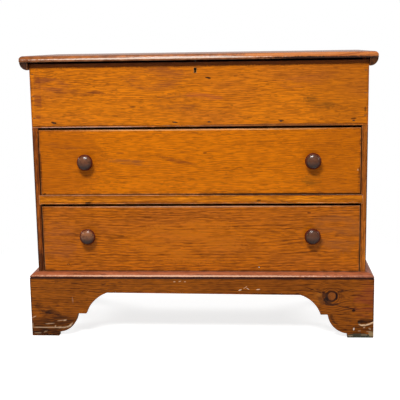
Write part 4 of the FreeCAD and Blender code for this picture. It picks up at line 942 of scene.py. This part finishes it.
def column_block(edge, thickness, mitres):
    """A board's points as a block: along its edge, up its columns, and through its thickness.

    Each column rises from the edge to the top in the shares of the rows. Near the two faces the
    outline is drawn in by the arris radius less the root of radius squared less depth squared, a
    quarter round. An end with a mitre of 1 is drawn in by the depth instead, and the columns near
    it in proportion.
    """
    depth = np.array([0, 0.12, 0.35, 0.75, ARRIS])
    middle = np.linspace(ARRIS, thickness - ARRIS, 8)[1:-1]
    through = np.concatenate([depth, middle, thickness - depth[::-1]])
    from_face = np.minimum(through, thickness - through)
    inset = ARRIS - np.sqrt(np.maximum(ARRIS ** 2 - np.maximum(ARRIS - from_face, 0) ** 2, 0))
    way = np.gradient(edge, axis=0)
    inward = np.stack([-way[:, 1], way[:, 0]], axis=1) / np.hypot(way[:, 0], way[:, 1])[:, None]
    inward[0], inward[-1] = (1 - mitres[0], 1), (mitres[1] - 1, 1)
    along = edge[:, 0, None, None] + inward[:, 0, None, None] * inset
    for end, mitre in ((0, mitres[0]), (-1, -mitres[1])):
        near = np.clip(1 - np.abs(edge[:, 0] - edge[end, 0]) / MITRE_ZONE, 0, 1)
        along = along + mitre * near[:, None, None] * np.maximum(through, inset)
    low = edge[:, 1, None, None] + inward[:, 1, None, None] * inset
    up = low + rows[None, :, None] * (BASE_TOP - inset - low)
    return np.broadcast_to(along, up.shape), up, np.broadcast_to(through, up.shape)


def skin(block):
    """The six outer sides of a block of points, as points and four-cornered faces."""
    numbers = np.arange(np.prod(block.shape[:3])).reshape(block.shape[:3])
    faces = []
    for axis in range(3):
        for end, turn in ((0, 1), (-1, -1)):
            faces.append(quads(np.take(numbers, end, axis=axis))[:, ::turn if axis != 1 else -turn])
    return only_used(block, np.concatenate(faces))[:2]


print(f"{len(rows)} rows")

# %% The splinter and the dents
SPLINTER_LIP = np.array([(484, 51), (489, 44), (496, 40), (506, 40.5), (515, 43), (524, 46.5), (535, 50)])
SPLINTER_TOP = np.array([(484, 52), (489, 58.5), (500, 60.5), (516, 59.5), (535, 58.5)])
SPLINTER_DEPTH = np.array([(484, 0), (488, 5), (506, 5.5), (520, 4), (535, 3)])
CHEWED_FROM, CHEWED_DEPTH, CHEWED_ABOVE = 486, 0.8, 12
dent_places = np.random.default_rng(7)
DENTS = 70
dent_side = np.where(dent_places.random(DENTS) < 0.5, -1, 1)
dent_x = dent_side * (BASE_END - 150 * dent_places.random(DENTS) ** 1.4)
dent_z = 4 + 80 * dent_places.random(DENTS) ** 1.5
dent_size = 1.6 + 5 * dent_places.random(DENTS) ** 2
dent_depth = 0.25 + 0.9 * dent_places.random(DENTS) ** 2


def battered(x, z):
    """How far the front of the base is pushed in at each place.

    The splinter is deepest just above its lip and fades to its top, and the foot below its lip is
    chewed. A dent is a round hollow: its depth times one less the distance squared over its size
    squared, where that is above nothing.
    """
    lip, crest = (np.interp(x, line[:, 0], line[:, 1]) for line in (SPLINTER_LIP, SPLINTER_TOP))
    deep = np.interp(x, SPLINTER_DEPTH[:, 0], SPLINTER_DEPTH[:, 1], left=0)
    rise = (z - lip) / np.maximum(crest - lip, 0.5)
    hollow = deep * np.clip(rise * 6, 0, 1) * np.clip(1.15 - rise, 0, 1)
    below_lip = np.clip((x - CHEWED_FROM) / 8, 0, 1) * np.clip((lip - 2 - z) / 3, 0, 1) * (z > CHEWED_ABOVE)
    chewed = CHEWED_DEPTH * below_lip * (1 + 0.5 * np.sin(x * 0.9) * np.sin(z * 0.7))
    away = (x[..., None] - dent_x) ** 2 + ((z[..., None] - dent_z) * 1.6) ** 2
    dents = (dent_depth * np.clip(1 - away / dent_size ** 2, 0, 1)).sum(-1)
    return hollow + chewed + dents


print(f"{DENTS} dents")

# %% Grime and scuffs
STROKE_FULL, STROKE_GONE = 0.8, 1.25
# Each stroke: its middle in x and z, half its length, half its height, its turn in degrees, its strength.
GRIME = np.array([
    (-452, 40, 95, 26, 2, 0.65), (-446, 48, 60, 15, 6, 0.8), (-438, 45, 9, 15, 0, 0.6),
    (-474, 43, 20, 5, 5, 0.6), (-505, 35, 28, 2.4, 3, 0.7), (-470, 50, 30, 1.8, 6, 0.7),
    (-440, 60, 34, 2.2, 10, 0.7), (-418, 66, 16, 2, 4, 0.6), (-452, 36, 28, 2.4, 0, 0.8),
    (-430, 37, 20, 3, 0, 0.7), (-500, 72, 18, 2, -14, 0.6), (-486, 81, 22, 4, 0, 0.45),
    (-512, 92, 20, 2, 8, 0.4), (-470, 70, 30, 1.8, -6, 0.5), (-489, 12, 60, 16, 0, 0.95),
    (-490, 20, 60, 2.4, 0, 0.85), (-533, 95, 3, 110, 0, 0.6), (533, 115, 3, 72, 0, 0.6),
    (501, 50, 16, 8, -4, 0.95), (514, 53, 24, 5, 0, 0.9), (524, 55, 14, 2.6, 2, 0.8),
    (505, 28, 38, 14, 0, 0.4), (480, 16, 34, 1.6, 0, 0.8), (512, 35, 9, 2, 10, 0.6),
    (486, 33, 8, 2, -10, 0.6), (408, 58, 8, 3, -40, 0.7), (416, 47, 12, 2.4, -30, 0.7),
    (404, 68, 5, 6, 0, 0.5), (438, 30, 16, 2, -20, 0.6), (455, 62, 26, 1.8, -8, 0.5),
    (440, 76, 22, 1.6, 6, 0.5), (500, 70, 20, 1.6, -6, 0.4),
])
SCUFFS = np.array([
    (-500, 28, 34, 1.5, 0, 0.85), (-450, 27.5, 30, 1.7, 1, 0.9), (-420, 30, 14, 1.8, 14, 0.9),
    (-409, 37, 8, 2, 40, 0.8), (-526, 61, 8, 1.3, 24, 0.7), (-530, 35, 1.6, 7, 0, 0.6),
    (-427, 51, 5, 1.8, 10, 0.9), (-441, 50, 10, 1.2, 6, 0.7), (-475, 40, 14, 1.2, 4, 0.6),
    (-458, 32, 3, 1.6, 60, 0.7), (-515, 9, 10, 2, 0, 0.4), (-490, 14, 6, 1.6, 20, 0.4),
    (493, 41, 6, 1.8, -30, 0.9), (503, 39.6, 10, 2.2, 2, 0.95), (517, 42.5, 9, 2.2, 16, 0.95),
    (528, 47, 9, 2.2, 22, 0.95), (505, 33, 3, 1.8, 20, 0.7), (522, 29, 4, 1.8, -30, 0.6),
    (490, 22, 4, 1.6, 10, 0.5), (518, 20, 6, 1.4, 0, 0.5), (462, 6, 8, 2, 0, 0.5),
    (505, 9, 10, 1.8, -4, 0.4), (-400, 118, 1.2, 9, 8, 0.3),
])


def brushed(x, z, strokes):
    """The strongest of a table of strokes at each point.

    Each stroke is an oval turned by its angle. It is full inside eight tenths of its size and gone
    at one and a quarter.
    """
    best = np.zeros(len(x))
    for middle_x, middle_z, long, tall, turn, strength in strokes:
        angle = radians(turn)
        along = (x - middle_x) * cos(angle) + (z - middle_z) * sin(angle)
        over = (z - middle_z) * cos(angle) - (x - middle_x) * sin(angle)
        far = np.hypot(along / long, over / tall)
        best = np.maximum(best, strength * np.clip((STROKE_GONE - far) / (STROKE_GONE - STROKE_FULL), 0, 1))
    return best


print(f"{len(GRIME)} strokes of grime, {len(SCUFFS)} scuffs")

# %% The base boards
BATTERED_DEPTH, FACE_DEPTH = 10, 8
along, up, through = column_block(front_edge, CASE_FRONT - BASE_FRONT + FILLING, (1, 1))
push = battered(along, up) * np.clip(1 - through / BATTERED_DEPTH, 0, 1)
points, faces = skin(np.stack([along, BASE_FRONT - FILLING + through + push, up], axis=-1))
in_front = points[:, 1] < BASE_FRONT + FACE_DEPTH
grime, scuff = (in_front * brushed(points[:, 0], points[:, 2], strokes) for strokes in (GRIME, SCUFFS))
new_piece("base_front_worn", points, faces, base_pine, "case", "base_pine", "base_front", grime=grime,
          scuff=scuff)
for side, sign in SIDES:
    along, up, through = column_block(side_edge, BASE_END - CASE_END + FILLING, (1, 0))
    across = sign * (BASE_END + FILLING - through)
    push = battered(across, up) * np.clip(1 - (along - BASE_FRONT) / BATTERED_DEPTH, 0, 1)
    points, faces = skin(np.stack([across, along + push, up], axis=-1))
    new_piece(f"base_{side}_worn", points, faces, base_end_pine[side], "case", "base_pine", f"base_{side}")

# %% [markdown]
# ## Eased arrises
#
# No arris stays sharp. A Bevel modifier rounds the edges of the boards that keep the frame's
# meshes. Those meshes are loose triangles, so a Weld joins them first and a Decimate clears the
# seams inside flat faces, or the bevel would follow every triangle.

# %% Ease the arrises
WELD_REACH, FLAT_ANGLE, SHARP_ANGLE = 0.01 * MM, radians(0.3), radians(35)


def ease(name, width):
    """Round a piece's sharp edges by a width in millimetres."""
    piece = nodes[name]
    weld = piece.modifiers.new("weld", "WELD")
    weld.merge_threshold = WELD_REACH
    flats = piece.modifiers.new("flats", "DECIMATE")
    flats.decimate_type, flats.angle_limit = "DISSOLVE", FLAT_ANGLE
    arris = piece.modifiers.new("arris", "BEVEL")
    arris.width, arris.segments, arris.limit_method, arris.angle_limit = width * MM, 2, "ANGLE", SHARP_ANGLE
    arris.use_clamp_overlap = True


ARRISES = {"upper_front": 0.8, "upper_drawer_front": 1.6, "lower_drawer_front": 1.6, "lid_board": 0.8,
           "lid_cleat_left": 0.8, "lid_cleat_right": 0.8, "drawer_divider": 0.5}
for name, width in ARRISES.items():
    ease(name, width)
print(f"{len(ARRISES)} pieces eased")

# %% [markdown]
# ## A plain studio
#
# The floor and the backdrop look white, and the light is soft. Raising the lamps until the floor
# clips would bleach the wood as well. Instead the floor and the world add light of their own, but
# only for rays that come straight from the camera, and the lamps stay at the level where a colour
# looks as it is written.

# %% The floor and the world
FILL, MIRRORED, FLOOR_GLOW, FLOOR_GREY = 0.12, 0.34, 0.8, (0.5, 0.5, 0.5, 1)
FLOOR_REACH, FADE_FROM, FADE_TO = 6.0, 0.7, 1.3
floor_corners = [(FLOOR_REACH * x, FLOOR_REACH * y, 0) for x, y in ((-1, -1), (1, -1), (1, 1), (-1, 1))]
floor_mesh = bpy.data.meshes.new("floor")
floor_mesh.from_pydata(floor_corners, [], [(0, 1, 2, 3)])
floor = placed("floor", floor_mesh)
floor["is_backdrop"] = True

floor_paint, shader, place = blank("floor_paint")
give(shader.inputs, Base_Color=FLOOR_GREY, Roughness=0.9, Specular_IOR_Level=0.1)
seen = add_node("LightPath").outputs["Is Camera Ray"]
glow = add_node("Emission", Strength=times(seen, FLOOR_GLOW))
both = add_node("AddShader")
tree.links.new(shader.outputs[0], both.inputs[0])
tree.links.new(glow.outputs[0], both.inputs[1])
far = times(seen, ramp(vectors("LENGTH", place), FADE_FROM, FADE_TO))
fade = add_node("MixShader", Fac=far)
tree.links.new(both.outputs[0], fade.inputs[1])
tree.links.new(add_node("Emission", Strength=1.0).outputs[0], fade.inputs[2])
tree.links.new(fade.outputs[0], tree.nodes["Material Output"].inputs["Surface"])
floor_mesh.materials.append(floor_paint)

world = bpy.data.worlds.new("studio")
world.use_nodes = True
bpy.context.scene.world = world
opened(world.node_tree)
path = add_node("LightPath").outputs
seen = times(path["Is Camera Ray"], 1 - FILL)
seen = maths("MULTIPLY_ADD", path["Is Glossy Ray"], MIRRORED, seen)
give(tree.nodes["Background"].inputs, Strength=maths("ADD", seen, FILL), Color=(1, 1, 1, 1))
print("floor and world ready")

# %% The lamps
def softbox(name, place, aim, width, height, power, mirrored=True):
    """A rectangular lamp that looks at a point. It can be kept out of the reflections."""
    lamp = placed(name, bpy.data.lights.new(name, "AREA"))
    lamp.data.shape, lamp.data.size, lamp.data.size_y, lamp.data.energy = "RECTANGLE", width, height, power
    lamp.location = place
    lamp.rotation_euler = (Vector(aim) - Vector(place)).to_track_quat("-Z", "Y").to_euler()
    lamp.visible_glossy = mirrored


softbox("key", (-0.38, -2.6, 2.85), (0, -0.1, 0.45), 1.2, 0.5, 97)
softbox("overhead", (0, -0.75, 2.6), (0, -0.15, 0.6), 1.8, 0.6, 10)
for side, sign in SIDES:
    softbox(f"behind_{side}", (sign * 2.2, 2.5, 1.9), (0, 0.25, 0.45), 1.2, 0.6, 45, mirrored=False)
    softbox(f"beside_{side}", (sign * 3.0, 0.0, 1.7), (sign * 0.5, 0, 0.45), 1.0, 0.6, 36)
print("lamps ready")

# %% Finish
low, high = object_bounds()
print(f"dressed size {[round(b - a, 4) for a, b in zip(low, high)]}")
